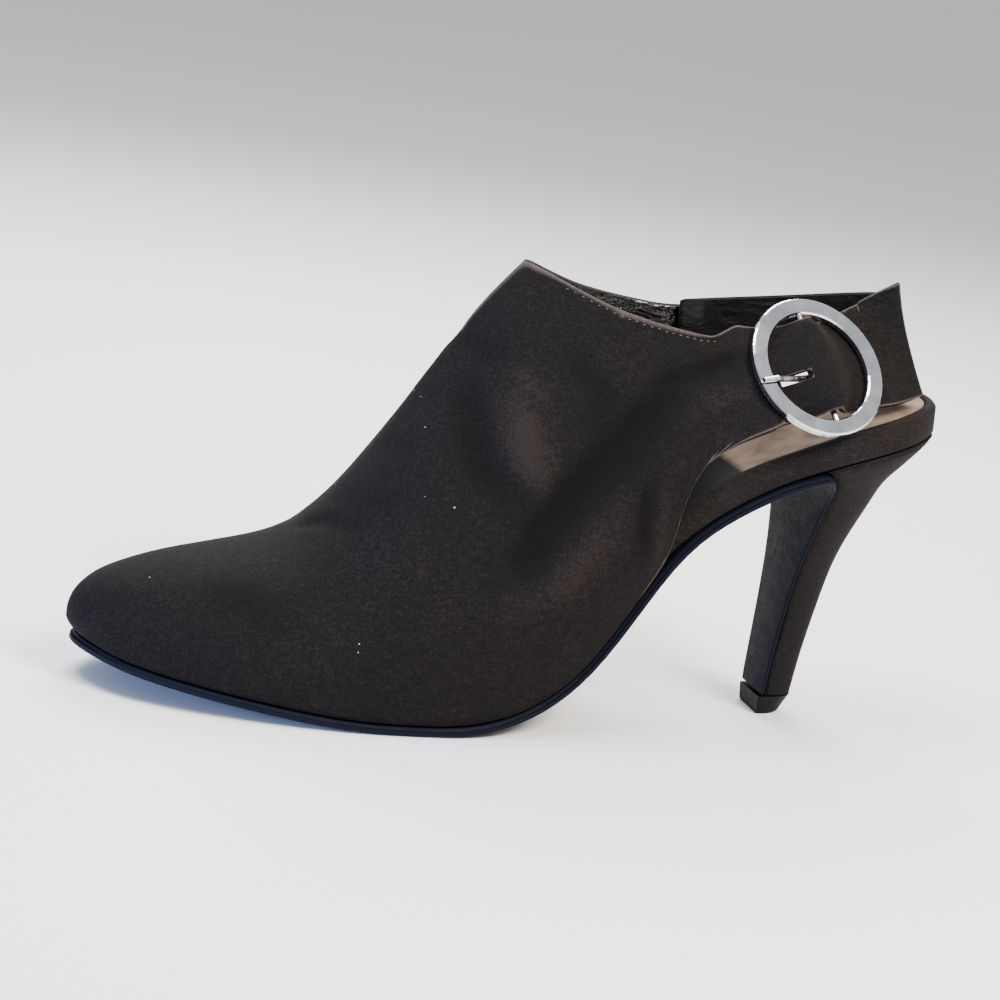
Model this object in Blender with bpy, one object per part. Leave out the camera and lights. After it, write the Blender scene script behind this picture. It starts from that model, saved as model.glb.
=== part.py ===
"""Left slingback shoe with a slim covered heel and a round buckle on its lateral side.

Frame: the shoe stands on the floor with +Z up. The toe points to -X, the heel to +X and the
lateral side of the left foot to -Y. The origin lies on the floor in the middle of the tread.
Stations run from the toe tip to the back of the seat, as shares of SHOE_LENGTH.
"""
import math
from collections import namedtuple

import bmesh
import bpy
import numpy as np
from mathutils import Matrix, Vector

# Driving sizes of the last
SHOE_LENGTH = 0.2345
BALL_WIDTH = 0.0740
SEAT_WIDTH = 0.0536
HEEL_HEIGHT = 0.0850
INSTEP_HEIGHT = 0.1185
TOE_SPRING = 0.0092
TOE_OVERHANG = 0.0023

# Materials' thicknesses and edges
WALL = 0.0018
OUTSOLE_THICK = 0.0024
OUTSOLE_EDGE = 0.0010
OUTSOLE_STEP = 0.0008
FLAP_THICK = 0.0015
FOOTBED_THICK = 0.0086
FOOTBED_ROUND = 0.0009
RIM_WIDTH = 0.0024
RIM_DEPTH = 0.0013
SOCK_THICK = 0.0009
TOP_LIFT_HEIGHT = 0.0052
SLING_THICK = 0.0014
SLING_WIDTH = 0.0215
STRAP_WIDTH = 0.0280
STRAP_END = 0.0342
END_RISE = 0.0032
END_LIFT = 0.0012
END_SLANT = 0.0030
STRAP_FLARE = 0.0020
END_FLARE = 0.0013
STRAP_CROWN = 0.0012

# Buckle
RING_RADIUS = 0.0200
RING_BAND = 0.0045
RING_THICK = 0.0022
RING_BEVEL = 0.0004
BAR_RADIUS = 0.0009
PRONG_RADIUS = 0.00085
PRONG_COLLAR_WIDTH = 0.0026
PRONG_COLLAR_WALL = 0.0010
PRONG_SLIDE = -0.0026
PRONG_NOTCH_DEPTH = 0.0004
STRAP_IN_RING = 0.0270
LOOP_WIDTH = 0.0170

# Clearances
PIECE_GAP = 0.0003
BAR_GAP = 0.00025
SLOT_GAP = 0.0004

# Where the pieces begin and end, as shares of SHOE_LENGTH
FEATHER_START = 0.010
FEATHER_END = 0.9885
TREAD_START = 0.325
TREAD_END = 0.405
PEAK_STATION = 0.470
LATERAL_CUT = 0.6445
MEDIAL_CUT = 0.662
MEDIAL_END = 0.752
FLAP_START = 0.797
TOE_END = 0.075

# Place and tilt of the buckle: its middle as shares and as a height over HEEL_HEIGHT, its face by angles
BUCKLE_STATION = 0.797
BUCKLE_LATERAL = 0.270
BUCKLE_OVER_SEAT = 0.0167
BUCKLE_HEADING = 14.9
BUCKLE_CLIMB = 6.2
BUCKLE_LEAN = 39.8

# Feather line seen from above: widths and sideways shift as shares of BALL_WIDTH
OutlineRow = namedtuple("OutlineRow", "station lateral medial shift")
OUTLINE = (
    OutlineRow(FEATHER_START, 0.000, 0.000, -0.032),
    OutlineRow(0.027, 0.142, 0.136, -0.028),
    OutlineRow(0.051, 0.240, 0.230, -0.022),
    OutlineRow(0.094, 0.324, 0.311, -0.015),
    OutlineRow(0.145, 0.389, 0.378, -0.008),
    OutlineRow(0.205, 0.439, 0.432, -0.003),
    OutlineRow(0.264, 0.473, 0.473, 0.000),
    OutlineRow(0.324, 0.495, 0.491, 0.000),
    OutlineRow(0.384, 0.500, 0.477, 0.000),
    OutlineRow(0.443, 0.486, 0.436, 0.000),
    OutlineRow(0.503, 0.446, 0.378, 0.000),
    OutlineRow(0.563, 0.392, 0.331, 0.000),
    OutlineRow(0.623, 0.350, 0.305, 0.000),
    OutlineRow(0.682, 0.326, 0.295, 0.000),
    OutlineRow(0.746, 0.324, 0.308, 0.000),
    OutlineRow(0.810, 0.343, 0.338, 0.000),
    OutlineRow(0.866, 0.358, 0.358, 0.000),
    OutlineRow(0.900, 0.348, 0.348, 0.000),
    OutlineRow(0.930, 0.308, 0.308, 0.000),
    OutlineRow(0.958, 0.238, 0.238, 0.000),
    OutlineRow(0.979, 0.140, 0.140, 0.000),
    OutlineRow(FEATHER_END, 0.000, 0.000, 0.000),
)

# Underside of the sole from the side: spring as shares of TOE_SPRING, lift of HEEL_HEIGHT
SoleRow = namedtuple("SoleRow", "station spring lift")
SOLE_LINE = (
    SoleRow(0.000, 1.000, 0.000),
    SoleRow(0.064, 0.720, 0.000),
    SoleRow(0.128, 0.510, 0.000),
    SoleRow(0.205, 0.270, 0.000),
    SoleRow(0.275, 0.080, 0.000),
    SoleRow(TREAD_START, 0.000, 0.000),
    SoleRow(TREAD_END, 0.000, 0.000),
    SoleRow(0.450, 0.000, 0.014),
    SoleRow(0.503, 0.000, 0.058),
    SoleRow(0.542, 0.000, 0.117),
    SoleRow(0.576, 0.000, 0.200),
    SoleRow(0.610, 0.000, 0.328),
    SoleRow(0.640, 0.000, 0.462),
    SoleRow(0.670, 0.000, 0.582),
    SoleRow(0.704, 0.000, 0.666),
    SoleRow(0.742, 0.000, 0.735),
    SoleRow(0.785, 0.000, 0.801),
    SoleRow(0.812, 0.000, 0.835),
    SoleRow(0.853, 0.000, 0.879),
    SoleRow(0.883, 0.000, 0.907),
    SoleRow(0.925, 0.000, 0.938),
    SoleRow(0.964, 0.000, 0.959),
    SoleRow(1.000, 0.000, 0.967),
)

# Thickness of the wrapped board as shares of FOOTBED_THICK
BoardRow = namedtuple("BoardRow", "station thickness")
BOARD = (
    BoardRow(0.000, 0.300),
    BoardRow(0.550, 0.330),
    BoardRow(0.620, 0.480),
    BoardRow(0.670, 0.700),
    BoardRow(0.704, 0.880),
    BoardRow(0.740, 0.940),
    BoardRow(0.790, 0.880),
    BoardRow(0.840, 0.930),
    BoardRow(0.900, 1.000),
    BoardRow(1.000, 0.960),
)

# Heel from the side, top to bottom: stations of SHOE_LENGTH, heights of HEEL_HEIGHT,
# half width of SEAT_WIDTH and the roundness of its back
HeelRow = namedtuple("HeelRow", "front front_height back back_height half roundness")
HEEL = (
    HeelRow(0.8230, 0.847, 0.9800, 0.990, 0.500, 2.50),
    HeelRow(0.8350, 0.826, 0.9610, 0.925, 0.430, 2.50),
    HeelRow(0.8390, 0.770, 0.9370, 0.835, 0.345, 2.40),
    HeelRow(0.8380, 0.685, 0.9240, 0.740, 0.288, 2.30),
    HeelRow(0.8352, 0.570, 0.9060, 0.612, 0.223, 2.20),
    HeelRow(0.8324, 0.470, 0.8950, 0.500, 0.182, 2.10),
    HeelRow(0.8292, 0.341, 0.8857, 0.352, 0.152, 2.10),
    HeelRow(0.8262, 0.200, 0.8776, 0.204, 0.133, 2.10),
    HeelRow(0.8242, 0.070, 0.8725, 0.070, 0.122, 2.10),
)

# Where the heel's sections lie between those rows, close together round the arch
HEEL_STEPS = (0, 0.3, 0.6, 0.9, 1.2, 1.5, 1.8, 2.1, 2.5, 3, 3.5, 4, 4.5, 5, 5.5, 6, 6.5, 7, 7.5, 8)

# Half sections of the upper: crown height of INSTEP_HEIGHT and sideways shift of BALL_WIDTH,
# bulge of BALL_WIDTH and height of the side handle, angle and reach of the top handle
SectionRow = namedtuple("SectionRow", "station crown shift bulge side lean reach")
SECTIONS = (
    SectionRow(FEATHER_START, 0.150, -0.032, 0.000, 0.60, 20.0, 0.60),
    SectionRow(0.0130, 0.176, -0.032, 0.006, 0.62, 14.0, 0.60),
    SectionRow(0.0220, 0.205, -0.031, 0.014, 0.64, 6.0, 0.60),
    SectionRow(0.0380, 0.234, -0.030, 0.022, 0.66, 3.0, 0.60),
    SectionRow(0.0650, 0.260, -0.028, 0.028, 0.66, 1.0, 0.60),
    SectionRow(0.1050, 0.285, -0.026, 0.032, 0.64, 0.0, 0.60),
    SectionRow(0.1550, 0.309, -0.026, 0.034, 0.62, 0.0, 0.58),
    SectionRow(0.2050, 0.335, -0.030, 0.036, 0.60, 1.0, 0.55),
    SectionRow(0.2390, 0.361, -0.036, 0.040, 0.58, 3.0, 0.52),
    SectionRow(0.2600, 0.393, -0.040, 0.042, 0.57, 5.0, 0.50),
    SectionRow(0.3050, 0.503, -0.048, 0.046, 0.54, 8.0, 0.47),
    SectionRow(0.3500, 0.651, -0.056, 0.052, 0.51, 11.0, 0.44),
    SectionRow(0.3880, 0.788, -0.064, 0.058, 0.48, 14.0, 0.42),
    SectionRow(0.4200, 0.876, -0.070, 0.068, 0.45, 18.0, 0.41),
    SectionRow(0.4500, 0.960, -0.076, 0.080, 0.42, 23.0, 0.42),
    SectionRow(PEAK_STATION, 1.000, -0.080, 0.090, 0.40, 27.0, 0.42),
    SectionRow(0.5100, 0.974, -0.080, 0.114, 0.37, 36.0, 0.50),
    SectionRow(0.5600, 0.940, -0.080, 0.132, 0.34, 48.0, 0.58),
    SectionRow(0.6200, 0.918, -0.080, 0.134, 0.34, 58.0, 0.68),
    SectionRow(0.6800, 0.906, -0.080, 0.124, 0.35, 64.0, 0.74),
    SectionRow(0.7600, 0.921, -0.080, 0.100, 0.34, 68.0, 0.78),
)

# Collar seen from above, as shares of BALL_WIDTH
CollarRow = namedtuple("CollarRow", "station lateral medial")
COLLAR = (
    CollarRow(PEAK_STATION, -0.080, -0.080),
    CollarRow(0.4780, 0.000, -0.138),
    CollarRow(0.5070, 0.100, -0.205),
    CollarRow(0.5500, 0.178, -0.258),
    CollarRow(0.5900, 0.232, -0.292),
    CollarRow(0.6300, 0.262, -0.312),
    CollarRow(0.6800, 0.268, -0.322),
    CollarRow(0.7600, 0.250, -0.322),
)

# Upper edge of the side cut-outs: heights of INSTEP_HEIGHT
CutRow = namedtuple("CutRow", "station lateral medial")
CUT_EDGE = (
    CutRow(0.0000, 0.000, 0.000),
    CutRow(0.0014, 0.440, 0.470),
    CutRow(0.0030, 0.500, 0.525),
    CutRow(0.0060, 0.555, 0.573),
    CutRow(0.0120, 0.597, 0.612),
    CutRow(0.0230, 0.634, 0.648),
    CutRow(0.0420, 0.675, 0.686),
    CutRow(0.0650, 0.706, 0.716),
    CutRow(0.1000, 0.740, 0.742),
)

# Centre line of the sling behind the buckle: stations, widths of BALL_WIDTH, and heights over
# HEEL_HEIGHT as shares of BUCKLE_OVER_SEAT
SlingRow = namedtuple("SlingRow", "station lateral rise lean")
SLING = (
    SlingRow(0.9290, 0.140, 1.287, 27.0),
    SlingRow(0.9455, 0.070, 1.384, 18.0),
    SlingRow(0.9495, -0.026, 1.430, 13.0),
    SlingRow(0.9345, -0.134, 1.390, 11.0),
    SlingRow(0.8880, -0.222, 1.247, 9.0),
    SlingRow(0.8150, -0.271, 1.069, 8.0),
    SlingRow(0.7500, -0.288, 0.942, 8.0),
    SlingRow(0.6950, -0.290, 0.842, 8.0),
)


def rounded_ends(station):
    """Spread the stations near both ends of the feather line, so that it closes round."""
    share = (station - FEATHER_START) / (FEATHER_END - FEATHER_START)
    return math.acos(1.0 - 2.0 * min(max(share, 0.0), 1.0))


def table(rows, column, station, rounded=False):
    """Read one column of a table at any station, by a monotone cubic through its rows."""
    spread = rounded_ends if rounded else float
    xs = np.array([spread(row.station) for row in rows])
    ys = np.array([getattr(row, column) for row in rows], float)
    x = spread(station)
    steps = np.diff(xs)
    rises = np.diff(ys) / steps
    slopes = np.concatenate([rises[:1], np.zeros(len(xs) - 2), rises[-1:]])
    for k in range(1, len(xs) - 1):
        if rises[k - 1] * rises[k] > 0.0:
            before = 2.0 * steps[k] + steps[k - 1]
            after = steps[k] + 2.0 * steps[k - 1]
            slopes[k] = (before + after) / (before / rises[k - 1] + after / rises[k])
    k = int(np.clip(np.searchsorted(xs, x) - 1, 0, len(steps) - 1))
    t = (x - xs[k]) / steps[k]
    return ((1 + 2 * t) * (1 - t) ** 2 * ys[k] + t * (1 - t) ** 2 * steps[k] * slopes[k]
            + t * t * (3 - 2 * t) * ys[k + 1] + t * t * (t - 1) * steps[k] * slopes[k + 1])


def smooth_step(value, low, high):
    """Rise from 0 at low to 1 at high with level ends."""
    t = min(max((value - low) / (high - low), 0.0), 1.0)
    return t * t * (3.0 - 2.0 * t)


def half_width(side, station):
    """Half width of the feather line on the lateral or medial side."""
    return BALL_WIDTH * table(OUTLINE, side, station, rounded=True)


def side_shift(station):
    """How far the middle of the forefoot lies to the lateral side."""
    return BALL_WIDTH * table(OUTLINE, "shift", station)


def sole_height(station):
    """Height of the underside of the sole, drawn on under the seat."""
    spring = TOE_SPRING * table(SOLE_LINE, "spring", station)
    return spring + HEEL_HEIGHT * table(SOLE_LINE, "lift", station)


def place(station_x, lateral, height):
    """Turn a length from the toe tip, a lateral distance and a height into the part's frame."""
    middle = 0.5 * (TREAD_START + TREAD_END) * SHOE_LENGTH
    return Vector((station_x - middle, -lateral, height))


class SidePath:
    """A smooth line in the shoe's middle plane, read by its length from the toe."""

    def __init__(self, points):
        """Run a spline through the points (x from the toe tip, z)."""
        chords = [0.0]
        for a, b in zip(points, points[1:]):
            chords.append(chords[-1] + math.dist(a, b))
        Knot = namedtuple("Knot", "station x z")
        knots = [Knot(c, p[0], p[1]) for c, p in zip(chords, points)]
        self.nodes = chords
        self.end = chords[-1]
        fine = np.linspace(0.0, self.end, 4 * len(points) + 1)
        self.lengths = np.unique(np.concatenate([fine, chords]))
        self.x = np.array([table(knots, "x", a) for a in self.lengths])
        self.z = np.array([table(knots, "z", a) for a in self.lengths])

    def at(self, length, offset=0.0):
        """Point at a length, raised square to the line by an offset; returns (x, z)."""
        tilt = self.tilt(length)
        x = float(np.interp(length, self.lengths, self.x))
        z = float(np.interp(length, self.lengths, self.z))
        return x - offset * math.sin(tilt), z + offset * math.cos(tilt)

    def tilt(self, length):
        """Slope angle of the line."""
        reach = 0.0012
        low = max(length - reach, 0.0)
        high = min(length + reach, self.end)
        dx = np.interp(high, self.lengths, self.x) - np.interp(low, self.lengths, self.x)
        dz = np.interp(high, self.lengths, self.z) - np.interp(low, self.lengths, self.z)
        return math.atan2(dz, dx)


def tread_stations():
    """Stations of the sole, close at the toe and the seat, with the tread's ends among them."""
    run = TREAD_START - FEATHER_START
    front = [FEATHER_START + run * (1.0 - math.cos(k * math.pi / 24)) for k in range(13)]
    waist = list(np.linspace(TREAD_END, FLAP_START, 15))
    return front + waist


def seat_stations():
    """Stations of the seat from the breast to its round back."""
    run = FEATHER_END - FLAP_START
    return [FLAP_START + run * math.sin(k * math.pi / 20) for k in range(1, 11)]


def layer_height(x, offset):
    """Height of the layer that lies an offset above the sole's underside, at a length x."""
    path = SEAT_PATH
    xs = [path.at(a, offset)[0] for a in path.lengths]
    zs = [path.at(a, offset)[1] for a in path.lengths]
    return float(np.interp(x, xs, zs))


SEAT_PATH = SidePath([(s * SHOE_LENGTH, sole_height(s)) for s in tread_stations() + seat_stations()])
BED_OFFSET = OUTSOLE_THICK + PIECE_GAP


def new_object(name, mesh_builder, material):
    """Make one named object from a bmesh and give it its material."""
    mesh = bpy.data.meshes.new(name)
    mesh_builder.to_mesh(mesh)
    mesh_builder.free()
    mesh.materials.append(material)
    mesh.shade_smooth()
    mesh.set_sharp_from_angle(angle=math.radians(38.0))
    item = bpy.data.objects.new(name, mesh)
    bpy.context.collection.objects.link(item)
    return item


def make_material(name, colour, roughness, metallic=0.0):
    """Plain surface with one colour."""
    material = bpy.data.materials.new(name)
    material.use_nodes = True
    shader = material.node_tree.nodes["Principled BSDF"]
    shader.inputs["Base Color"].default_value = (*colour, 1.0)
    shader.inputs["Roughness"].default_value = roughness
    shader.inputs["Metallic"].default_value = metallic
    return material


def ladder_solid(loops):
    """Close a stack of loops into one body.

    Each loop is a list of rungs, a pair of points (lateral, medial); a rung whose two points
    meet closes the loop to a tip. The first and the last loop are covered between their rungs.
    """
    bm = bmesh.new()
    grid = [[[bm.verts.new(point) for point in rung] for rung in loop] for loop in loops]
    last = len(grid[0]) - 1

    def face(*corners):
        bm.faces.new(corners)

    for low, high in zip(grid, grid[1:]):
        for k in range(last):
            for side in (0, 1):
                face(low[k][side], low[k + 1][side], high[k + 1][side], high[k][side])
        for k in (0, last):
            face(low[k][0], low[k][1], high[k][1], high[k][0])
    for loop in (grid[0], grid[-1]):
        for k in range(last):
            face(loop[k][0], loop[k + 1][0], loop[k + 1][1], loop[k][1])
    bmesh.ops.remove_doubles(bm, verts=bm.verts, dist=1e-6)
    bmesh.ops.dissolve_degenerate(bm, edges=bm.edges, dist=1e-6)
    bmesh.ops.recalc_face_normals(bm, faces=bm.faces)
    return bm


def inset_chain(chain, distance):
    """Move a chain of flat points (length, lateral) inwards by a distance, square to the chain."""
    moved = []
    for k, (a, y) in enumerate(chain):
        before = chain[max(k - 1, 0)]
        after = chain[min(k + 1, len(chain) - 1)]
        if k == 0 and abs(y) < 1e-9:
            moved.append((a + distance, y))
            continue
        if k == len(chain) - 1 and abs(y) < 1e-9:
            moved.append((a - distance, y))
            continue
        run = after[0] - before[0]
        rise = after[1] - before[1]
        size = math.hypot(run, rise)
        moved.append((a + distance * rise / size, y - distance * run / size))
    return moved


def outline_width(side, x):
    """Feather half width at a length from the toe tip."""
    return half_width(side, min(max(x / SHOE_LENGTH, 0.0), 1.0))


def breast_points():
    """The outer face of the flap, from the arch under the seat down to the top lift."""
    return [(row.front * SHOE_LENGTH, row.front_height * HEEL_HEIGHT) for row in HEEL]


def flap_share(length, path, turn):
    """How far the sole has thinned into the flap, from 0 on the arch to 1 on the breast."""
    return smooth_step(length, path.nodes[turn - 1], path.nodes[turn + 2])


def build_outsole(material):
    """Thin sole with a stepped side, whose flap turns down the breast of the heel."""
    stations = tread_stations()
    flap = breast_points()
    path = SidePath([(s * SHOE_LENGTH, sole_height(s)) for s in stations] + flap)
    turn = len(stations)
    halves = [row.half * SEAT_WIDTH for row in HEEL]
    flap_lengths = path.nodes[turn:]
    between = [0.5 * (a + b) for a, b in zip(flap_lengths, flap_lengths[1:])]
    lengths = sorted(path.nodes + between)

    def widths_at(side, length):
        flat = outline_width(side, path.at(length)[0])
        down = float(np.interp(length, flap_lengths, halves))
        return flat + (down - flat) * smooth_step(length, path.nodes[turn - 1], flap_lengths[1])

    thin = FLAP_THICK / OUTSOLE_THICK
    layers = (
        (-0.5 * OUTSOLE_EDGE, 0.0),
        (-OUTSOLE_EDGE, 0.2 * OUTSOLE_THICK),
        (-OUTSOLE_EDGE, 0.6 * OUTSOLE_THICK),
        (OUTSOLE_STEP - OUTSOLE_EDGE, 0.68 * OUTSOLE_THICK),
        (OUTSOLE_STEP - OUTSOLE_EDGE, OUTSOLE_THICK),
    )
    loops = []
    for inset, offset in layers:
        sides = []
        for sign, side in ((1, "lateral"), (-1, "medial")):
            chain = [(a, widths_at(side, a)) for a in lengths]
            points = []
            for a, y in inset_chain(chain, inset):
                inside = min(max(a, 0.0), path.end)
                part = 1.0 + (thin - 1.0) * flap_share(inside, path, turn)
                x, z = path.at(inside, offset * part)
                x += (a - inside) * math.cos(path.tilt(inside)) if a < 0.0 else 0.0
                points.append(place(x, sign * y + side_shift(min(max(x / SHOE_LENGTH, 0.0), 1.0)), z))
            sides.append(points)
        loops.append(list(zip(*sides)))
    return new_object("outsole", ladder_solid(loops), material)


def board_offset(length):
    """Height of the footbed's rim above the sole's underside."""
    station = SEAT_PATH.at(length)[0] / SHOE_LENGTH
    return BED_OFFSET + FOOTBED_THICK * table(BOARD, "thickness", station)


def bed_inset(side, x):
    """How far the footbed lies inside the feather line: inside the upper, then out past the cut."""
    start = LATERAL_CUT if side == "lateral" else MEDIAL_CUT
    out = smooth_step(x / SHOE_LENGTH, start + 0.008, start + 0.024)
    return (WALL + PIECE_GAP) * (1.0 - out)


def bed_loops(layers):
    """Loops of the footbed and the sock, from (inset, offset function) pairs."""
    lengths = SEAT_PATH.nodes
    loops = []
    for inset, offset in layers:
        sides = []
        for sign, side in ((1, "lateral"), (-1, "medial")):
            chain = [(a, outline_width(side, SEAT_PATH.at(a)[0])) for a in lengths]
            points = []
            for k, (a0, _) in enumerate(chain):
                x0, _ = SEAT_PATH.at(a0, offset(a0))
                a, y = inset_chain(chain, inset + bed_inset(side, x0))[k]
                a = min(max(a, 0.0), SEAT_PATH.end)
                x, z = SEAT_PATH.at(a, offset(a0))
                points.append(place(x, sign * y + side_shift(x0 / SHOE_LENGTH), z))
            sides.append(points)
        loops.append(list(zip(*sides)))
    return loops


def build_footbed(material):
    """Wrapped board with round edges and a rim round the place of the sock."""
    layers = (
        (FOOTBED_ROUND, lambda a: BED_OFFSET),
        (0.0, lambda a: BED_OFFSET + FOOTBED_ROUND),
        (0.0, lambda a: board_offset(a) - FOOTBED_ROUND),
        (FOOTBED_ROUND, board_offset),
        (RIM_WIDTH, board_offset),
        (RIM_WIDTH + 0.3 * RIM_DEPTH, lambda a: board_offset(a) - RIM_DEPTH),
    )
    return new_object("footbed", ladder_solid(bed_loops(layers)), material)


def build_sock(material):
    """Thin lining that lies in the rim of the footbed."""
    edge = RIM_WIDTH + 0.3 * RIM_DEPTH + PIECE_GAP
    floor = PIECE_GAP - RIM_DEPTH
    layers = (
        (edge, lambda a: board_offset(a) + floor),
        (edge, lambda a: board_offset(a) + floor + 0.6 * SOCK_THICK),
        (edge + 0.5 * SOCK_THICK, lambda a: board_offset(a) + floor + SOCK_THICK),
    )
    return new_object("sock", ladder_solid(bed_loops(layers)), material)


def heel_loop(front, back, half, roundness, seat=False):
    """One section of the heel: a straight front and a round back, or the seat's own outline."""
    rungs = []
    for k in range(13):
        share = math.sin(k * math.pi / 24)
        x = front[0] + (back[0] - front[0]) * share
        z = front[1] + (back[1] - front[1]) * share
        y = half * (1.0 - share ** roundness) ** (1.0 / roundness)
        if seat:
            y = outline_width("lateral", x) - 0.5 * PIECE_GAP if k < 12 else 0.0
            z = layer_height(x, OUTSOLE_THICK)
        rungs.append((place(x, y, z), place(x, -y, z)))
    return rungs


def build_heel(material):
    """Covered heel: the seat's outline at the top, drawn in to the slim stem."""
    stations = tread_stations()
    path = SidePath([(s * SHOE_LENGTH, sole_height(s)) for s in stations] + breast_points())
    Knot = namedtuple("Knot", "station length back back_height half roundness")
    knots = [Knot(k, path.nodes[len(stations) + k], row.back * SHOE_LENGTH, row.back_height * HEEL_HEIGHT,
                  row.half * SEAT_WIDTH, row.roundness) for k, row in enumerate(HEEL)]
    loops = []
    for step in HEEL_STEPS:
        down = catmull(knots, "length", step)
        deep = OUTSOLE_THICK + (FLAP_THICK - OUTSOLE_THICK) * flap_share(down, path, len(stations))
        front = path.at(down, deep + PIECE_GAP)
        back = (catmull(knots, "back", step), catmull(knots, "back_height", step))
        if step == HEEL_STEPS[-1]:
            front = (front[0], TOP_LIFT_HEIGHT + PIECE_GAP)
            back = (back[0], TOP_LIFT_HEIGHT + PIECE_GAP)
        loops.append(heel_loop(front, back, catmull(knots, "half", step), catmull(knots, "roundness", step),
                               seat=(step == 0)))
    return new_object("heel", ladder_solid(loops), material)


def build_top_lift(material):
    """Hard top piece that stands on the floor under the heel."""
    last = HEEL[-1]
    front = last.front * SHOE_LENGTH - 0.0004
    back = last.back * SHOE_LENGTH + 0.0002
    half = last.half * SEAT_WIDTH + 0.0002
    loops = []
    for height, draw in ((TOP_LIFT_HEIGHT, 0.0), (0.0005, 0.0004), (0.0, 0.0008)):
        loops.append(heel_loop((front + draw, height), (back - 2.0 * draw - 0.002 * (height < 0.004), height),
                               half - draw, last.roundness))
    return new_object("top_lift", ladder_solid(loops), material)


class BuckleFrame:
    """Middle, strap direction, bar direction and outward face of the buckle."""

    def __init__(self, slide=0.0):
        """Turn the three angles into directions, and slide the middle along the bar."""
        self.middle = place(BUCKLE_STATION * SHOE_LENGTH, BUCKLE_LATERAL * BALL_WIDTH,
                            HEEL_HEIGHT + BUCKLE_OVER_SEAT)
        heading = math.radians(BUCKLE_HEADING)
        climb = math.radians(BUCKLE_CLIMB)
        self.along = Vector((math.cos(heading) * math.cos(climb), math.sin(heading) * math.cos(climb),
                             math.sin(climb)))
        upright = (Vector((0, 0, 1)) - self.along * self.along.z).normalized()
        outward = self.along.cross(upright)
        if outward.y > 0:
            outward.negate()
        lean = math.radians(BUCKLE_LEAN)
        self.up = upright * math.cos(lean) - outward * math.sin(lean)
        self.out = outward * math.cos(lean) + upright * math.sin(lean)
        self.middle += self.up * slide

    def point(self, along, up, out):
        """Point from distances along the strap, up the bar and out of the ring's plane."""
        return self.middle + self.along * along + self.up * up + self.out * out

    def matrix(self):
        """Matrix whose columns are along, up and out."""
        turn = Matrix((self.along, self.up, self.out)).transposed().to_4x4()
        turn.translation = self.middle
        return turn


BUCKLE = BuckleFrame()
PRONG_FRAME = BuckleFrame(PRONG_SLIDE)
INNER_RADIUS = RING_RADIUS - RING_BAND
UNDER_RING = -(0.5 * RING_THICK + PIECE_GAP + 0.5 * WALL)
OVER_BAR = BAR_RADIUS + BAR_GAP + SLING_THICK + PIECE_GAP + 0.5 * WALL


def strap_height(along, up):
    """How far the strap's middle layer stands out of the ring's plane: over the bar, under the rim."""
    reach = math.sqrt(max((INNER_RADIUS - 3.0 * PIECE_GAP) ** 2 - up * up, 1e-8))
    if abs(along) >= reach:
        return UNDER_RING
    edge = abs(up) / (0.5 * STRAP_IN_RING)
    crest = OVER_BAR - UNDER_RING + PIECE_GAP - STRAP_CROWN * edge ** 6
    return UNDER_RING + crest * math.cos(0.5 * math.pi * along / reach) ** 2


def sling_points():
    """Guide line of the straps: straight through the ring, round the heel, into the medial quarter."""
    points = [BUCKLE.point(share * RING_RADIUS, 0.0, 0.0) for share in (0.0, 0.3, 0.6, 0.9, 1.2)]
    leans = [BUCKLE_LEAN] * 5
    for row in SLING:
        points.append(place(row.station * SHOE_LENGTH, row.lateral * BALL_WIDTH,
                            HEEL_HEIGHT + row.rise * BUCKLE_OVER_SEAT))
        leans.append(row.lean)
    return points, leans


class StrapGuide:
    """Smooth guide line of the straps with its own up and outward directions."""

    def __init__(self):
        """Fit a cubic through the guide's points."""
        points, leans = sling_points()
        chords = [0.0]
        for a, b in zip(points, points[1:]):
            chords.append(chords[-1] + (b - a).length)
        Knot = namedtuple("Knot", "station x y z lean")
        knots = [Knot(c, p.x, p.y, p.z, lean) for c, p, lean in zip(chords, points, leans)]
        self.end = chords[-1]
        self.knots = knots

    def spot(self, length):
        """Point of the guide line."""
        return Vector([catmull(self.knots, axis, length) for axis in "xyz"])

    def frame(self, length):
        """Point, up and outward directions at a length from the bar."""
        step = 0.0008
        ahead = self.spot(min(length + step, self.end)) - self.spot(max(length - step, 0.0))
        ahead.normalize()
        upright = (Vector((0, 0, 1)) - ahead * ahead.z).normalized()
        outward = ahead.cross(upright).normalized()
        lean = math.radians(catmull(self.knots, "lean", length))
        up = upright * math.cos(lean) - outward * math.sin(lean)
        out = outward * math.cos(lean) + upright * math.sin(lean)
        return self.spot(length), up, out


def catmull(knots, column, length):
    """Cubic through the knots with slopes from their neighbours."""
    xs = [k.station for k in knots]
    ys = [getattr(k, column) for k in knots]
    k = int(np.clip(np.searchsorted(xs, length) - 1, 0, len(xs) - 2))

    def slope(i):
        low = max(i - 1, 0)
        high = min(i + 1, len(xs) - 1)
        return (ys[high] - ys[low]) / (xs[high] - xs[low])

    step = xs[k + 1] - xs[k]
    t = (length - xs[k]) / step
    return ((1 + 2 * t) * (1 - t) ** 2 * ys[k] + t * (1 - t) ** 2 * step * slope(k)
            + t * t * (3 - 2 * t) * ys[k + 1] + t * t * (t - 1) * step * slope(k + 1))


GUIDE = StrapGuide()


def sling_depth(length):
    """Middle of the sling below the guide line: under the bar, under the strap, then level."""
    at_bar = -(BAR_RADIUS + BAR_GAP + 0.5 * SLING_THICK)
    under = UNDER_RING - 0.5 * WALL - 2.0 * PIECE_GAP - 0.5 * SLING_THICK
    depth = at_bar + (under - at_bar) * smooth_step(length, 0.05 * RING_RADIUS, 0.7 * RING_RADIUS)
    return depth * (1.0 - smooth_step(length, 1.9 * RING_RADIUS, 3.0 * RING_RADIUS))


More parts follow.
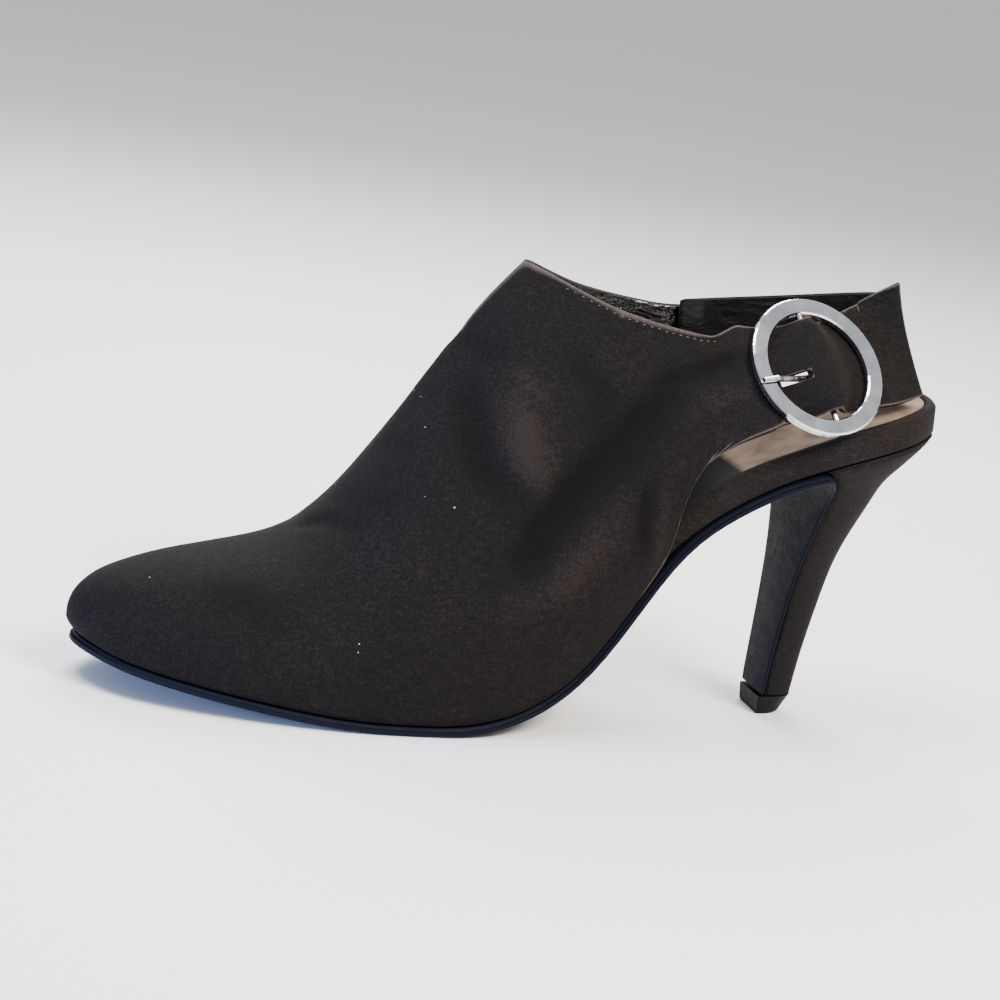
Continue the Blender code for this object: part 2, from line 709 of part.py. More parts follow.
def build_sling(material):
    """Strap round the heel, hooked round the bar with a slot for the prong."""
    outer = []
    inner = []
    half = 0.5 * SLING_THICK
    turn_radius = BAR_RADIUS + BAR_GAP + half
    rungs = []
    for k in range(13):
        angle = math.radians(75.0 + 195.0 * k / 12)
        along = turn_radius * math.cos(angle)
        height = turn_radius * math.sin(angle)
        out = BUCKLE.along * math.cos(angle) + BUCKLE.out * math.sin(angle)
        rungs.append((BUCKLE.point(along, 0.0, height), BUCKLE.up, out, 0.5 * LOOP_WIDTH))
    lengths = [np.linspace(0.15, 0.75, 5) * RING_RADIUS, np.linspace(0.9 * RING_RADIUS, GUIDE.end, 40)]
    for length in np.concatenate(lengths):
        spot, up, out = GUIDE.frame(length)
        widened = smooth_step(length, 0.6 * RING_RADIUS, 1.3 * RING_RADIUS)
        width = LOOP_WIDTH + (SLING_WIDTH - LOOP_WIDTH) * widened
        rungs.append((spot + out * sling_depth(length), up, -out, 0.5 * width))
    for spot, up, out, width in rungs:
        outer.append((spot + up * width + out * half, spot - up * width + out * half))
        inner.append((spot + up * width - out * half, spot - up * width - out * half))
    sling = new_object("sling_strap", ladder_solid([outer, inner]), material)
    slot = box_cutter("sling_slot", PRONG_FRAME, (-0.30 * RING_RADIUS, 0.18 * RING_RADIUS),
                      0.5 * PRONG_COLLAR_WIDTH + SLOT_GAP, (-0.3 * RING_RADIUS, 0.3 * RING_RADIUS))
    add_cut(sling, slot)
    return sling


def box_cutter(name, frame, along, half_up, out):
    """Box in the buckle's frame that cuts a slot."""
    bm = bmesh.new()
    bmesh.ops.create_cube(bm, size=1.0)
    size = Vector((along[1] - along[0], 2.0 * half_up, out[1] - out[0]))
    middle = Vector((0.5 * sum(along), 0.0, 0.5 * sum(out)))
    bmesh.ops.scale(bm, vec=size, verts=bm.verts)
    bmesh.ops.translate(bm, vec=middle, verts=bm.verts)
    bmesh.ops.transform(bm, matrix=frame.matrix(), verts=bm.verts)
    mesh = bpy.data.meshes.new(name)
    bm.to_mesh(mesh)
    bm.free()
    cutter = bpy.data.objects.new(name, mesh)
    cutter.hide_render = True
    cutter.display_type = "WIRE"
    bpy.context.collection.objects.link(cutter)
    return cutter


def add_cut(item, cutter, operation="DIFFERENCE"):
    """Add an exact Boolean with the cutter."""
    cut = item.modifiers.new(cutter.name, "BOOLEAN")
    cut.operation = operation
    cut.solver = "EXACT"
    cut.object = cutter


PEAK_LEAN = math.radians(27.0)


def section_points(side, station, count, low_height=None):
    """Points of one half section of the upper, from its lower edge up to the crown or collar."""
    x = station * SHOE_LENGTH
    sign = 1.0 if side == "lateral" else -1.0
    shift = side_shift(min(station, 1.0))
    width = half_width(side, station)
    tip_gap = PIECE_GAP * (1.0 - smooth_step(station, FEATHER_START, 0.5 * TOE_END))
    foot = (width, layer_height(x, BED_OFFSET + 0.5 * PIECE_GAP) + tip_gap)
    crown = INSTEP_HEIGHT * table(SECTIONS, "crown", station)
    ridge = BALL_WIDTH * table(SECTIONS, "shift", station)
    if station > PEAK_STATION:
        ridge = BALL_WIDTH * table(COLLAR, side, station)
    top = (sign * (ridge - shift), crown)
    rise = crown - foot[1]
    bulge = BALL_WIDTH * table(SECTIONS, "bulge", station) * min(1.0, 3.0 * width / BALL_WIDTH)
    side_handle = (width + bulge, foot[1] + rise * table(SECTIONS, "side", station))
    lean = math.radians(table(SECTIONS, "lean", station))
    steep = smooth_step(station, PEAK_STATION - 0.03, PEAK_STATION + 0.13)
    span = table(SECTIONS, "reach", station) * max(width + bulge * steep - top[0], 0.004 * steep)
    drop = math.tan(min(lean, PEAK_LEAN)) * span * (1.0 - steep) + 0.30 * rise * steep
    top_handle = (top[0] + span * (1.0 - 0.25 * steep), crown - drop)
    ts = np.linspace(0.0, 1.0, 80)
    ys = bezier(foot[0], side_handle[0], top_handle[0], top[0], ts)
    zs = bezier(foot[1], side_handle[1], top_handle[1], top[1], ts)
    start = 0.0
    if low_height is not None and low_height > foot[1]:
        start = float(np.interp(low_height, zs, ts))
    forward = TOE_OVERHANG * (1.0 - smooth_step(station, FEATHER_START, TOE_END))
    points = []
    for t in np.linspace(start, 1.0, count):
        y = float(np.interp(t, ts, ys))
        z = float(np.interp(t, ts, zs))
        ahead = forward * math.sin(0.5 * math.pi * min(1.0, 1.7 * (z - foot[1]) / rise))
        points.append(place(x - ahead, sign * y + shift, z))
    return points


def bezier(a, b, c, d, t):
    """Cubic curve between a and d with handles b and c."""
    return a * (1 - t) ** 3 + 3 * b * t * (1 - t) ** 2 + 3 * c * t * t * (1 - t) + d * t ** 3


def strap_points(along, count):
    """Points across the lateral strap at a distance from the bar, from its lower to its upper edge."""
    wide = 0.5 * STRAP_WIDTH
    narrow = 0.5 * STRAP_IN_RING
    half = narrow + (wide - narrow) * smooth_step(abs(along), 0.2 * RING_RADIUS, 0.8 * RING_RADIUS)
    half += STRAP_FLARE * smooth_step(-along, 0.7 * RING_RADIUS, 1.2 * RING_RADIUS)
    half += END_FLARE * smooth_step(along, 0.6 * RING_RADIUS, 1.2 * RING_RADIUS)
    rise = END_RISE * smooth_step(along, 0.2 * RING_RADIUS, 1.3 * RING_RADIUS)
    behind = smooth_step(along, INNER_RADIUS, RING_RADIUS)
    points = []
    for k in range(count):
        up = half * (2.0 * k / (count - 1) - 1.0)
        by_ring = BUCKLE.point(along, up + rise, strap_height(along, up + rise) + 0.5 * WALL)
        if behind == 0.0:
            points.append(by_ring)
            continue
        cut = END_SLANT * (up / half) * smooth_step(along, RING_RADIUS, STRAP_END)
        spot, guide_up, out = GUIDE.frame(along + cut)
        lift = END_LIFT * smooth_step(along, RING_RADIUS, STRAP_END)
        by_guide = spot + guide_up * (up + rise) + out * (UNDER_RING + 0.5 * WALL + lift)
        points.append(by_ring.lerp(by_guide, behind))
    return points


def upper_rows():
    """Rows of the outer surface: the closed vamp, then the lateral and the medial quarter."""
    count = 13
    vamp = []
    for k in range(23):
        run = PEAK_STATION - FEATHER_START
        station = FEATHER_START + run * (1.0 - math.cos(k * math.pi / 44))
        vamp.append((section_points("lateral", station, count), section_points("medial", station, count)))
    quarters = {}
    for side, cut in (("lateral", LATERAL_CUT), ("medial", MEDIAL_CUT)):
        stations = [PEAK_STATION + (cut - PEAK_STATION) * (k / 9) ** 1.5 for k in range(1, 10)]
        rows = [section_points(side, s, count) for s in stations]
        end = BUCKLE_STATION - RING_RADIUS / SHOE_LENGTH if side == "lateral" else MEDIAL_END
        past = [row.station for row in CUT_EDGE[1:] if cut + row.station < end - 0.01] + [end - cut]
        for step in past:
            low = INSTEP_HEIGHT * table(CUT_EDGE, side, step)
            points = section_points(side, cut + step, count, low)
            if side == "lateral":
                along = (cut + step - BUCKLE_STATION) * SHOE_LENGTH
                blend = smooth_step(cut + step, 0.665, end)
                points = [a.lerp(b, blend) for a, b in zip(points, strap_points(along, count))]
            rows.append(points)
        quarters[side] = rows
    for along in np.linspace(-0.9 * RING_RADIUS, STRAP_END, 26):
        quarters["lateral"].append(strap_points(float(along), count))
    for index, side in enumerate(("lateral", "medial")):
        chain = [pair[index] for pair in vamp] + quarters[side]
        relax(chain, 19, len(vamp) + 9, 8)
        relax(chain, len(vamp) + 9, len(vamp) + 17, 6)
    return vamp, quarters


def relax(chain, first, last, rounds):
    """Smooth rows of points along the shoe in place, the lower and the upper edge left as they are."""
    for _ in range(rounds):
        before = [[point.copy() for point in row] for row in chain]
        for i in range(first, min(last, len(chain) - 1)):
            for k in range(1, len(chain[i]) - 1):
                share = min(1.0, 0.34 * min(k, len(chain[i]) - 1 - k))
                middle = 0.5 * (before[i - 1][k] + before[i + 1][k])
                chain[i][k] = before[i][k].lerp(middle, 0.6 * share)


def build_upper(material):
    """Hollow vamp and quarters with a wall of real thickness."""
    vamp, quarters = upper_rows()
    bm = bmesh.new()
    chains = {"lateral": [], "medial": []}
    for lateral, medial in vamp:
        chains["lateral"].append([bm.verts.new(p) for p in lateral])
        chains["medial"].append([bm.verts.new(p) for p in medial])
    for side in chains:
        for points in quarters[side]:
            chains[side].append([bm.verts.new(p) for p in points])
        for low, high in zip(chains[side], chains[side][1:]):
            for k in range(len(low) - 1):
                corners = (low[k], low[k + 1], high[k + 1], high[k])
                bm.faces.new(corners if side == "lateral" else corners[::-1])
    bmesh.ops.remove_doubles(bm, verts=bm.verts, dist=2e-6)
    bmesh.ops.dissolve_degenerate(bm, edges=bm.edges, dist=2e-6)
    bmesh.ops.recalc_face_normals(bm, faces=bm.faces)
    foremost = min(bm.faces, key=lambda f: f.calc_center_median().x)
    if foremost.normal.x > 0.0:
        bmesh.ops.reverse_faces(bm, faces=bm.faces)
    upper = new_object("upper", bm, material)
    wall = upper.modifiers.new("wall", "SOLIDIFY")
    wall.thickness = WALL
    wall.offset = -1.0
    wall.use_even_offset = True
    wall.use_quality_normals = True
    hole = box_cutter("prong_hole", PRONG_FRAME, (-0.62 * RING_RADIUS, -0.24 * RING_RADIUS),
                      PRONG_RADIUS + SLOT_GAP, (-0.25 * RING_RADIUS, 0.25 * RING_RADIUS))
    add_cut(upper, hole)
    return upper


def build_buckle(material):
    """Flat ring, turned from its section, with a bar across and a notch for the prong."""
    half = 0.5 * RING_THICK
    cut = RING_BEVEL
    section = (
        (INNER_RADIUS + cut, half), (RING_RADIUS - cut, half), (RING_RADIUS, half - cut),
        (RING_RADIUS, cut - half), (RING_RADIUS - cut, -half), (INNER_RADIUS + cut, -half),
        (INNER_RADIUS, cut - half), (INNER_RADIUS, half - cut),
    )
    bm = bmesh.new()
    ring = [bm.verts.new((radius, 0.0, out)) for radius, out in section]
    edges = [bm.edges.new((a, b)) for a, b in zip(ring, ring[1:] + ring[:1])]
    bmesh.ops.spin(bm, geom=ring + edges, cent=(0, 0, 0), axis=(0, 0, 1), angle=2 * math.pi,
                   steps=46, use_merge=True)
    bmesh.ops.recalc_face_normals(bm, faces=bm.faces)
    bmesh.ops.transform(bm, matrix=BUCKLE.matrix(), verts=bm.verts)
    buckle = new_object("buckle", bm, material)
    bar = rod_cutter("buckle_bar", 2.0 * INNER_RADIUS + 0.8 * RING_BAND)
    add_cut(buckle, bar, "UNION")
    notch = box_cutter("buckle_notch", PRONG_FRAME, (-1.05 * RING_RADIUS, 0.001 - INNER_RADIUS),
                       PRONG_RADIUS + 0.5 * SLOT_GAP, (half - PRONG_NOTCH_DEPTH, half + RING_THICK))
    add_cut(buckle, notch)
    return buckle


def rod_cutter(name, length):
    """Round rod along the buckle's bar."""
    bm = bmesh.new()
    bmesh.ops.create_cone(bm, cap_ends=True, segments=12, radius1=BAR_RADIUS, radius2=BAR_RADIUS, depth=length)
    bmesh.ops.rotate(bm, cent=(0, 0, 0), matrix=Matrix.Rotation(math.radians(90.0), 3, "X"), verts=bm.verts)
    bmesh.ops.transform(bm, matrix=BUCKLE.matrix(), verts=bm.verts)
    mesh = bpy.data.meshes.new(name)
    bm.to_mesh(mesh)
    bm.free()
    rod = bpy.data.objects.new(name, mesh)
    rod.hide_render = True
    rod.display_type = "WIRE"
    bpy.context.collection.objects.link(rod)
    return rod


def build_prong(material):
    """Pin: a collar round the bar and a bent shaft that rests in the ring's notch."""
    rest = 0.5 * RING_THICK - PRONG_NOTCH_DEPTH + PIECE_GAP + PRONG_RADIUS
    outer = BAR_RADIUS + BAR_GAP + PRONG_COLLAR_WALL
    bends = (
        (-0.080, 0.0), (-0.200, -0.0001), (-0.350, 0.0), (-0.460, 0.0004), (-0.560, 0.0009),
        (-0.675, 0.7 * rest), (-0.750, rest), (-0.985, rest),
    )
    bm = bmesh.new()
    sides = 10
    rings = []
    for k, (along, out) in enumerate(bends):
        radius = PRONG_RADIUS * (0.8 if k == len(bends) - 1 else 1.0)
        ring = []
        for j in range(sides):
            angle = 2 * math.pi * j / sides
            ring.append(bm.verts.new((along * RING_RADIUS, radius * math.cos(angle),
                                      out + radius * math.sin(angle))))
        rings.append(ring)
    for low, high in zip(rings, rings[1:]):
        for j in range(sides):
            bm.faces.new((low[j], low[(j + 1) % sides], high[(j + 1) % sides], high[j]))
    bm.faces.new(rings[0][::-1])
    bm.faces.new(rings[-1])
    bmesh.ops.recalc_face_normals(bm, faces=bm.faces)
    bmesh.ops.transform(bm, matrix=PRONG_FRAME.matrix(), verts=bm.verts)
    prong = new_object("prong", bm, material)

    bm = bmesh.new()
    half = 0.5 * PRONG_COLLAR_WIDTH
    inner = BAR_RADIUS + BAR_GAP
    section = ((inner, -half), (outer, -half), (outer, half), (inner, half))
    ring = [bm.verts.new((radius, up, 0.0)) for radius, up in section]
    edges = [bm.edges.new((a, b)) for a, b in zip(ring, ring[1:] + ring[:1])]
    bmesh.ops.spin(bm, geom=ring + edges, cent=(0, 0, 0), axis=(0, 1, 0), angle=2 * math.pi,
                   steps=20, use_merge=True)
    bmesh.ops.recalc_face_normals(bm, faces=bm.faces)
    bmesh.ops.transform(bm, matrix=PRONG_FRAME.matrix(), verts=bm.verts)
    mesh = bpy.data.meshes.new("prong_collar")
    bm.to_mesh(mesh)
    bm.free()
    collar = bpy.data.objects.new("prong_collar", mesh)
    collar.hide_render = True
    collar.display_type = "WIRE"
    bpy.context.collection.objects.link(collar)
    add_cut(prong, collar, "UNION")
    return prong


def main():
    """Clear the scene and build every piece of the shoe."""
    for item in list(bpy.data.objects):
        bpy.data.objects.remove(item)
    suede = make_material("black_microsuede", (0.016, 0.013, 0.013), 0.85)
    strap_suede = make_material("black_strap_suede", (0.018, 0.014, 0.014), 0.85)
    wrap = make_material("black_wrap_suede", (0.018, 0.015, 0.015), 0.80)
    cover = make_material("black_heel_suede", (0.016, 0.013, 0.013), 0.82)
    resin = make_material("black_resin", (0.012, 0.012, 0.013), 0.35)
    rubber = make_material("black_hard_rubber", (0.010, 0.010, 0.010), 0.50)
    taupe = make_material("taupe_sock_lining", (0.230, 0.180, 0.150), 0.60)
    chrome = make_material("polished_steel", (0.700, 0.700, 0.730), 0.18, 1.0)
    pin = make_material("steel_pin", (0.600, 0.580, 0.540), 0.25, 1.0)
    build_outsole(resin)
    build_footbed(wrap)
    build_sock(taupe)
    build_heel(cover)
    build_top_lift(rubber)
    build_upper(suede)
    build_sling(strap_suede)
    build_buckle(chrome)
    build_prong(pin)


main()
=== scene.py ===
import logging
import math
from dataclasses import dataclass, field
from enum import Enum
from typing import Union

import bmesh
import bpy
from mathutils import Matrix, Vector
from mathutils.bvhtree import BVHTree


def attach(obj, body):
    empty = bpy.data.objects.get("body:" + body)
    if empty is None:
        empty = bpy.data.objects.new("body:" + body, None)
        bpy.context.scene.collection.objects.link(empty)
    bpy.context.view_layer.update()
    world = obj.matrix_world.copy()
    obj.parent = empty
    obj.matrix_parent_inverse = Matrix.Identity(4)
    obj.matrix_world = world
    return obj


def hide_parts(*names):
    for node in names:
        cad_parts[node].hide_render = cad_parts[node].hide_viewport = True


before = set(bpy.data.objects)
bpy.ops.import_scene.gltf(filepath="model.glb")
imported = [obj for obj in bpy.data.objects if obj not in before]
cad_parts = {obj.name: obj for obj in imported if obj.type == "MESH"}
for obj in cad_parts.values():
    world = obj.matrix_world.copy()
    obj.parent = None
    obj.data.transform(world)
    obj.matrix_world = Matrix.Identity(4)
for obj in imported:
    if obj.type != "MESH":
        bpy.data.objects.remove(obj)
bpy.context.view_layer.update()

LOG = logging.getLogger("slingback")

# the classes hold their sizes in millimetres, and this turns them into metres
MM = 0.001

# the sRGB curve: straight near black, then a power
SRGB_KNEE = 0.04045
SRGB_SLOPE = 12.92
SRGB_OFFSET = 0.055
SRGB_POWER = 2.4

# a wave texture repeats after this share of its unit
WAVE_REPEAT = math.tau / 20.0

# numbers of a mix node's colour inputs and colour output
MIX_FIRST = 6
MIX_SECOND = 7
MIX_RESULT = 2

Point = tuple[float, float, float]
Colour = tuple[float, float, float, float]
Value = Union[float, Point, Colour, bpy.types.NodeSocket]
Inputs = dict[Union[str, int], Value]


def linear(code: str) -> Colour:
    """Turn an sRGB hex colour into linear values.

    Args:
        code: six hex digits.

    Returns:
        Linear red, green and blue, and a full alpha.
    """
    parts = [int(code[k:k + 2], 16) / 255.0 for k in (0, 2, 4)]
    red, green, blue = (
        part / SRGB_SLOPE if part <= SRGB_KNEE else ((part + SRGB_OFFSET) / (1.0 + SRGB_OFFSET)) ** SRGB_POWER
        for part in parts)
    return red, green, blue, 1.0


def per_mm(size: float) -> float:
    """Pattern scale, in repeats a metre, of a feature with a real size in millimetres."""
    return 1.0 / (size * MM)


class Recipe:
    """A new material with its shader, and short ways to add its nodes."""

    def __init__(self, name: str) -> None:
        """Make the material and its object coordinates.

        Args:
            name: the material's name.
        """
        self.material = bpy.data.materials.new(name)
        self.material.use_nodes = True
        self.tree = self.material.node_tree
        self.shader = self.tree.nodes["Principled BSDF"]
        self.place = self.add("TexCoord").outputs["Object"]

    def fill(self, node: bpy.types.Node, inputs: Inputs) -> None:
        """Link a node's inputs, or set their values.

        Args:
            node: the node.
            inputs: a socket to link, or a plain value to set, by input name or number.
        """
        for key, value in inputs.items():
            if isinstance(value, bpy.types.NodeSocket):
                self.tree.links.new(value, node.inputs[key])
            else:
                node.inputs[key].default_value = value

    def add(self, kind: str, inputs: Inputs | None = None, **settings: str) -> bpy.types.Node:
        """Add one node.

        Args:
            kind: the node's class name without its ShaderNode prefix.
            inputs: sockets or values by input name or number.
            settings: the node's own settings.

        Returns:
            The node.
        """
        node = self.tree.nodes.new("ShaderNode" + kind)
        for key, setting in settings.items():
            setattr(node, key, setting)
        self.fill(node, inputs or {})
        return node

    def noise(self, size_mm: float, detail: float = 2.0, roughness: float = 0.5, distortion: float = 0.0,
              stretch: Point | None = None) -> bpy.types.NodeSocket:
        """Add soft noise.

        Args:
            size_mm: size of its largest features.
            detail: rounds of finer features.
            roughness: how strong the finer ones are.
            distortion: how far the features are twisted.
            stretch: how much denser it is along each axis, if not alike.

        Returns:
            The noise, from 0 to 1.
        """
        place = self.place
        if stretch:
            place = self.add("Mapping", {"Vector": place, "Scale": stretch}).outputs["Vector"]
        node = self.add("TexNoise", {"Vector": place, "Scale": per_mm(size_mm), "Detail": detail,
                                     "Roughness": roughness, "Distortion": distortion})
        return node.outputs["Fac"]

    def cells(self, size_mm: float) -> bpy.types.Node:
        """Add Voronoi cells of one size and return their node."""
        return self.add("TexVoronoi", {"Vector": self.place, "Scale": per_mm(size_mm)})

    def attribute(self, name: str) -> bpy.types.NodeSocket:
        """Read a value that the mesh carries at its vertices."""
        return self.add("Attribute", attribute_name=name).outputs["Fac"]

    def calc(self, operation: str, *values: Value) -> bpy.types.NodeSocket:
        """Calculate with values.

        Args:
            operation: the operation's name in a math node.
            values: its operands, in order.

        Returns:
            The result.
        """
        return self.add("Math", dict(enumerate(values)), operation=operation).outputs[0]

    def spread(self, value: bpy.types.NodeSocket, to: tuple[float, float],
               start: tuple[float, float] = (0.0, 1.0)) -> bpy.types.NodeSocket:
        """Map one range to another, and hold it at the ends.

        Args:
            value: what is mapped.
            to: lowest and highest result.
            start: the values that give them.

        Returns:
            The result.
        """
        node = self.add("MapRange", {"Value": value, "From Min": start[0], "From Max": start[1],
                                     "To Min": to[0], "To Max": to[1]})
        return node.outputs[0]

    def ramp(self, factor: bpy.types.NodeSocket, stops: dict[float, str]) -> bpy.types.NodeSocket:
        """Look colours up between stops.

        Args:
            factor: the value to look up.
            stops: sRGB hex colours by position, in order.

        Returns:
            The colour.
        """
        node = self.add("ValToRGB", {"Fac": factor})
        elements = node.color_ramp.elements
        first, *between, last = stops.items()
        for element, (position, code) in zip(elements, (first, last)):
            element.position = position
            element.color = linear(code)
        for position, code in between:
            elements.new(position).color = linear(code)
        return node.outputs["Color"]

    def mix(self, factor: bpy.types.NodeSocket, first: Value, second: Value) -> bpy.types.NodeSocket:
        """Mix two colours.

        Args:
            factor: the second colour's share.
            first: the first colour.
            second: the second colour.

        Returns:
            The colour.
        """
        node = self.add("Mix", {0: factor, MIX_FIRST: first, MIX_SECOND: second}, data_type="RGBA")
        return node.outputs[MIX_RESULT]

    def bump(self, height: bpy.types.NodeSocket, strength: float, depth_mm: float,
             under: bpy.types.NodeSocket | None = None) -> bpy.types.NodeSocket:
        """Turn a height into a bump.

        Args:
            height: the height, from 0 to 1.
            strength: how much of it shows.
            depth_mm: the depth that 1 stands for.
            under: a bump that this one lies on.

        Returns:
            The normal.
        """
        inputs = {"Height": height, "Strength": strength, "Distance": depth_mm * MM}
        if under is not None:
            inputs["Normal"] = under
        return self.add("Bump", inputs).outputs["Normal"]

    def finish(self, inputs: Inputs) -> bpy.types.Material:
        """Fill in the shader's inputs and return the material."""
        self.fill(self.shader, inputs)
        return self.material


@dataclass(frozen=True)
class Microsuede:
    """Microfibre suede, sheared to a short nap: dull, with soft clouds where the nap is brushed.

    Attributes:
        deep, mid, worn: colours of the nap from dark to pale, each at its place on the ramp; troughs shift it
            dark as painted shade, ridges pale as painted highlight.
        edge: the pale colour painted along sharp edges as a painted highlight.
        glance: the warm colour of the sheen at flat angles.
        lint: colour of the specks, whose radius is lint_radius of the lint_gap_mm between them; a
            speck is left out where its cell is darker than lint_rarity.
        grain_mm, cloud_mm, streak_mm: sizes of the tufts, the brushed clouds and the streaks.
        grain_share, cloud_share, streak_share, fold_shade_share: how much each counts towards the colour;
        fold_shade_share is the painted fold shade's.
        roughness: lowest and highest roughness; a nap is never glossy.
        gleam, sheen: how much light it mirrors, and how much its fibres catch at flat angles.
        nap_strength, nap_depth_mm, dent_strength, dent_depth_mm: bump of the tufts and the clouds.
    """

    name: str = "napped_microsuede"
    deep: str = "070606"
    mid: str = "0f0d0d"
    pale_nap: str = "211c1a"
    # painted highlight colour for sharp edges
    edge: str = "6a5f59"
    glance: str = "b09a8c"
    lint: str = "a9a29b"
    deep_at: float = 0.46
    mid_at: float = 0.70
    pale_nap_at: float = 0.97
    grain_mm: float = 0.7
    cloud_mm: float = 22.0
    streak_mm: float = 1.1
    streak_stretch: Point = (0.35, 1.0, 1.2)
    grain_share: float = 0.85
    cloud_share: float = 0.25
    streak_share: float = 0.30
    fold_shade_share: float = 0.26
    lint_gap_mm: float = 4.2
    lint_radius: float = 0.05
    lint_rarity: float = 0.78
    roughness: tuple[float, float] = (0.78, 0.95)
    gleam: float = 0.10
    sheen: float = 0.02
    sheen_roughness: float = 0.38
    nap_strength: float = 0.55
    nap_depth_mm: float = 0.15
    dent_strength: float = 0.5
    dent_depth_mm: float = 0.35

    def make(self) -> bpy.types.Material:
        """Build the material: clouds of brushed nap, short fibres, lint and a warm sheen.

        Returns:
            The material.
        """
        recipe = Recipe(self.name)
        # clouds of nap laid one way or the other, about the size of a fingertip
        cloud = recipe.noise(self.cloud_mm, detail=5.0, roughness=0.62)
        # fibre tufts; the real ones are 0.1 mm and drawn coarser, so that they show
        tuft = recipe.noise(self.grain_mm, detail=3.0, roughness=0.7)
        # streaks 3 mm long, left by a hand along the shoe
        streak = recipe.noise(self.streak_mm, stretch=self.streak_stretch)
        base = recipe.calc("MULTIPLY", cloud, self.cloud_share)
        both = recipe.calc("MULTIPLY_ADD", tuft, self.grain_share, base)
        mixed = recipe.calc("MULTIPLY_ADD", streak, self.streak_share, both)
        # painted light and shade on the folds: the nap is drawn paler where a fold stands up and darker where
        # it sinks
        nap_and_fold_shade = recipe.calc("MULTIPLY_ADD", recipe.attribute("wear_and_fold_shade"), self.fold_shade_share, mixed)
        colour = recipe.ramp(nap_and_fold_shade, {self.deep_at: self.deep, self.mid_at: self.mid, self.pale_nap_at: self.pale_nap})
        # painted highlight: sharp folded edges are drawn towards a pale colour, standing in for the light
        # they catch
        edge_highlight = recipe.calc("MULTIPLY", recipe.attribute("rim"), tuft)
        edged = recipe.mix(edge_highlight, colour, linear(self.edge))
        # lint: rare specks about 0.4 mm across
        speck = recipe.cells(self.lint_gap_mm)
        near = recipe.calc("LESS_THAN", speck.outputs["Distance"], self.lint_radius)
        rare = recipe.calc("GREATER_THAN", speck.outputs["Color"], self.lint_rarity)
        dotted = recipe.mix(recipe.calc("MULTIPLY", near, rare), edged, linear(self.lint))
        nap = recipe.bump(tuft, self.nap_strength, self.nap_depth_mm)
        return recipe.finish({
            "Base Color": dotted,
            "Roughness": recipe.spread(cloud, self.roughness),
            "Specular IOR Level": self.gleam,
            "Sheen Weight": self.sheen,
            "Sheen Roughness": self.sheen_roughness,
            "Sheen Tint": linear(self.glance),
            "Normal": recipe.bump(cloud, self.dent_strength, self.dent_depth_mm, nap)})


@dataclass(frozen=True)
class Steel:
    """Cast steel, polished and plated: mirror bright with fine wheel marks and a few dull clouds.

    Attributes:
        tone, shade: colours of the bright and the hazy parts, at the ends of haze_span.
        low, high: lowest and highest roughness.
        haze_mm: size of the hazy clouds.
        mark_mm, mark_stretch: breadth of the wheel marks and how they are drawn out.
        mark_strength, mark_depth_mm: bump of the marks, just enough to soften a reflection.
    """

    name: str = "polished_plated_steel"
    tone: str = "dcdee3"
    shade: str = "c4c8d2"
    low: float = 0.06
    high: float = 0.20
    haze_mm: float = 5.0
    haze_span: tuple[float, float] = (0.3, 0.7)
    mark_mm: float = 0.5
    mark_stretch: Point = (6.0, 1.0, 0.4)
    mark_strength: float = 0.06
    mark_depth_mm: float = 0.05

    def make(self) -> bpy.types.Material:
        """Build the material: a metal whose gloss varies a little, with fine marks.

        Returns:
            The material.
        """
        recipe = Recipe(self.name)
        haze = recipe.noise(self.haze_mm, detail=4.0)
        mark = recipe.noise(self.mark_mm, stretch=self.mark_stretch)
        return recipe.finish({
            "Base Color": recipe.ramp(haze, {self.haze_span[0]: self.shade, self.haze_span[1]: self.tone}),
            "Roughness": recipe.spread(haze, (self.low, self.high)),
            "Metallic": 1.0,
            "Normal": recipe.bump(mark, self.mark_strength, self.mark_depth_mm)})


class Surface(Enum):
    """How a moulded piece was left: the value of its wear pattern from which it is scuffed."""

    SMOOTH = 0.72
    WORN = 0.55


@dataclass(frozen=True)
class Resin:
    """Moulded polyurethane: nearly black with a blue cast, a low sheen and paler scuffs; the blue cast is
    painted reflection.

    Attributes:
        tone, scuff: colours of the clean and the scuffed surface; the blue in their defaults is painted
            reflection.
        roughness, rough_spread, wear_span: the surface's roughness, and what is added to it at each
            end of this span of the wear.
        surface: how it was left.
        wear_mm: size of the scuffed patches.
        drag_mm, drag_stretch: breadth of the drag marks and how they are drawn out.
        refraction, gleam: how the surface mirrors light, which is little.
        drag_strength, drag_depth_mm: bump of the drag marks.
    """

    name: str = "moulded_sole_resin"
    # painted reflection: the blue in this colour and in the scuff stands in for cool light mirrored by the
    # sole
    tone: str = "060a15"
    scuff: str = "141c2d"
    roughness: float = 0.62
    rough_spread: tuple[float, float] = (-0.08, 0.22)
    wear_span: tuple[float, float] = (0.1, 0.5)
    surface: Surface = Surface.SMOOTH
    wear_mm: float = 3.5
    drag_mm: float = 0.8
    drag_stretch: Point = (0.25, 1.0, 1.0)
    refraction: float = 1.5
    gleam: float = 0.10
    drag_strength: float = 0.10
    drag_depth_mm: float = 0.1

    def make(self) -> bpy.types.Material:
        """Build the material: scuffs and drag marks along the shoe, and a soft gloss.

        Returns:
            The material.
        """
        recipe = Recipe(self.name)
        wear_and_fold_shade = recipe.noise(self.wear_mm, detail=6.0, roughness=0.7)
        drag = recipe.noise(self.drag_mm, detail=3.0, stretch=self.drag_stretch)
        both = recipe.calc("MULTIPLY", wear_and_fold_shade, drag)
        scuffed = self.surface.value
        low, high = self.rough_spread
        return recipe.finish({
            "Base Color": recipe.ramp(both, {0.0: self.tone, scuffed * 0.5: self.tone, scuffed: self.scuff}),
            "Roughness": recipe.spread(both, (self.roughness + low, self.roughness + high), self.wear_span),
            "IOR": self.refraction,
            "Specular IOR Level": self.gleam,
            "Normal": recipe.bump(drag, self.drag_strength, self.drag_depth_mm)})


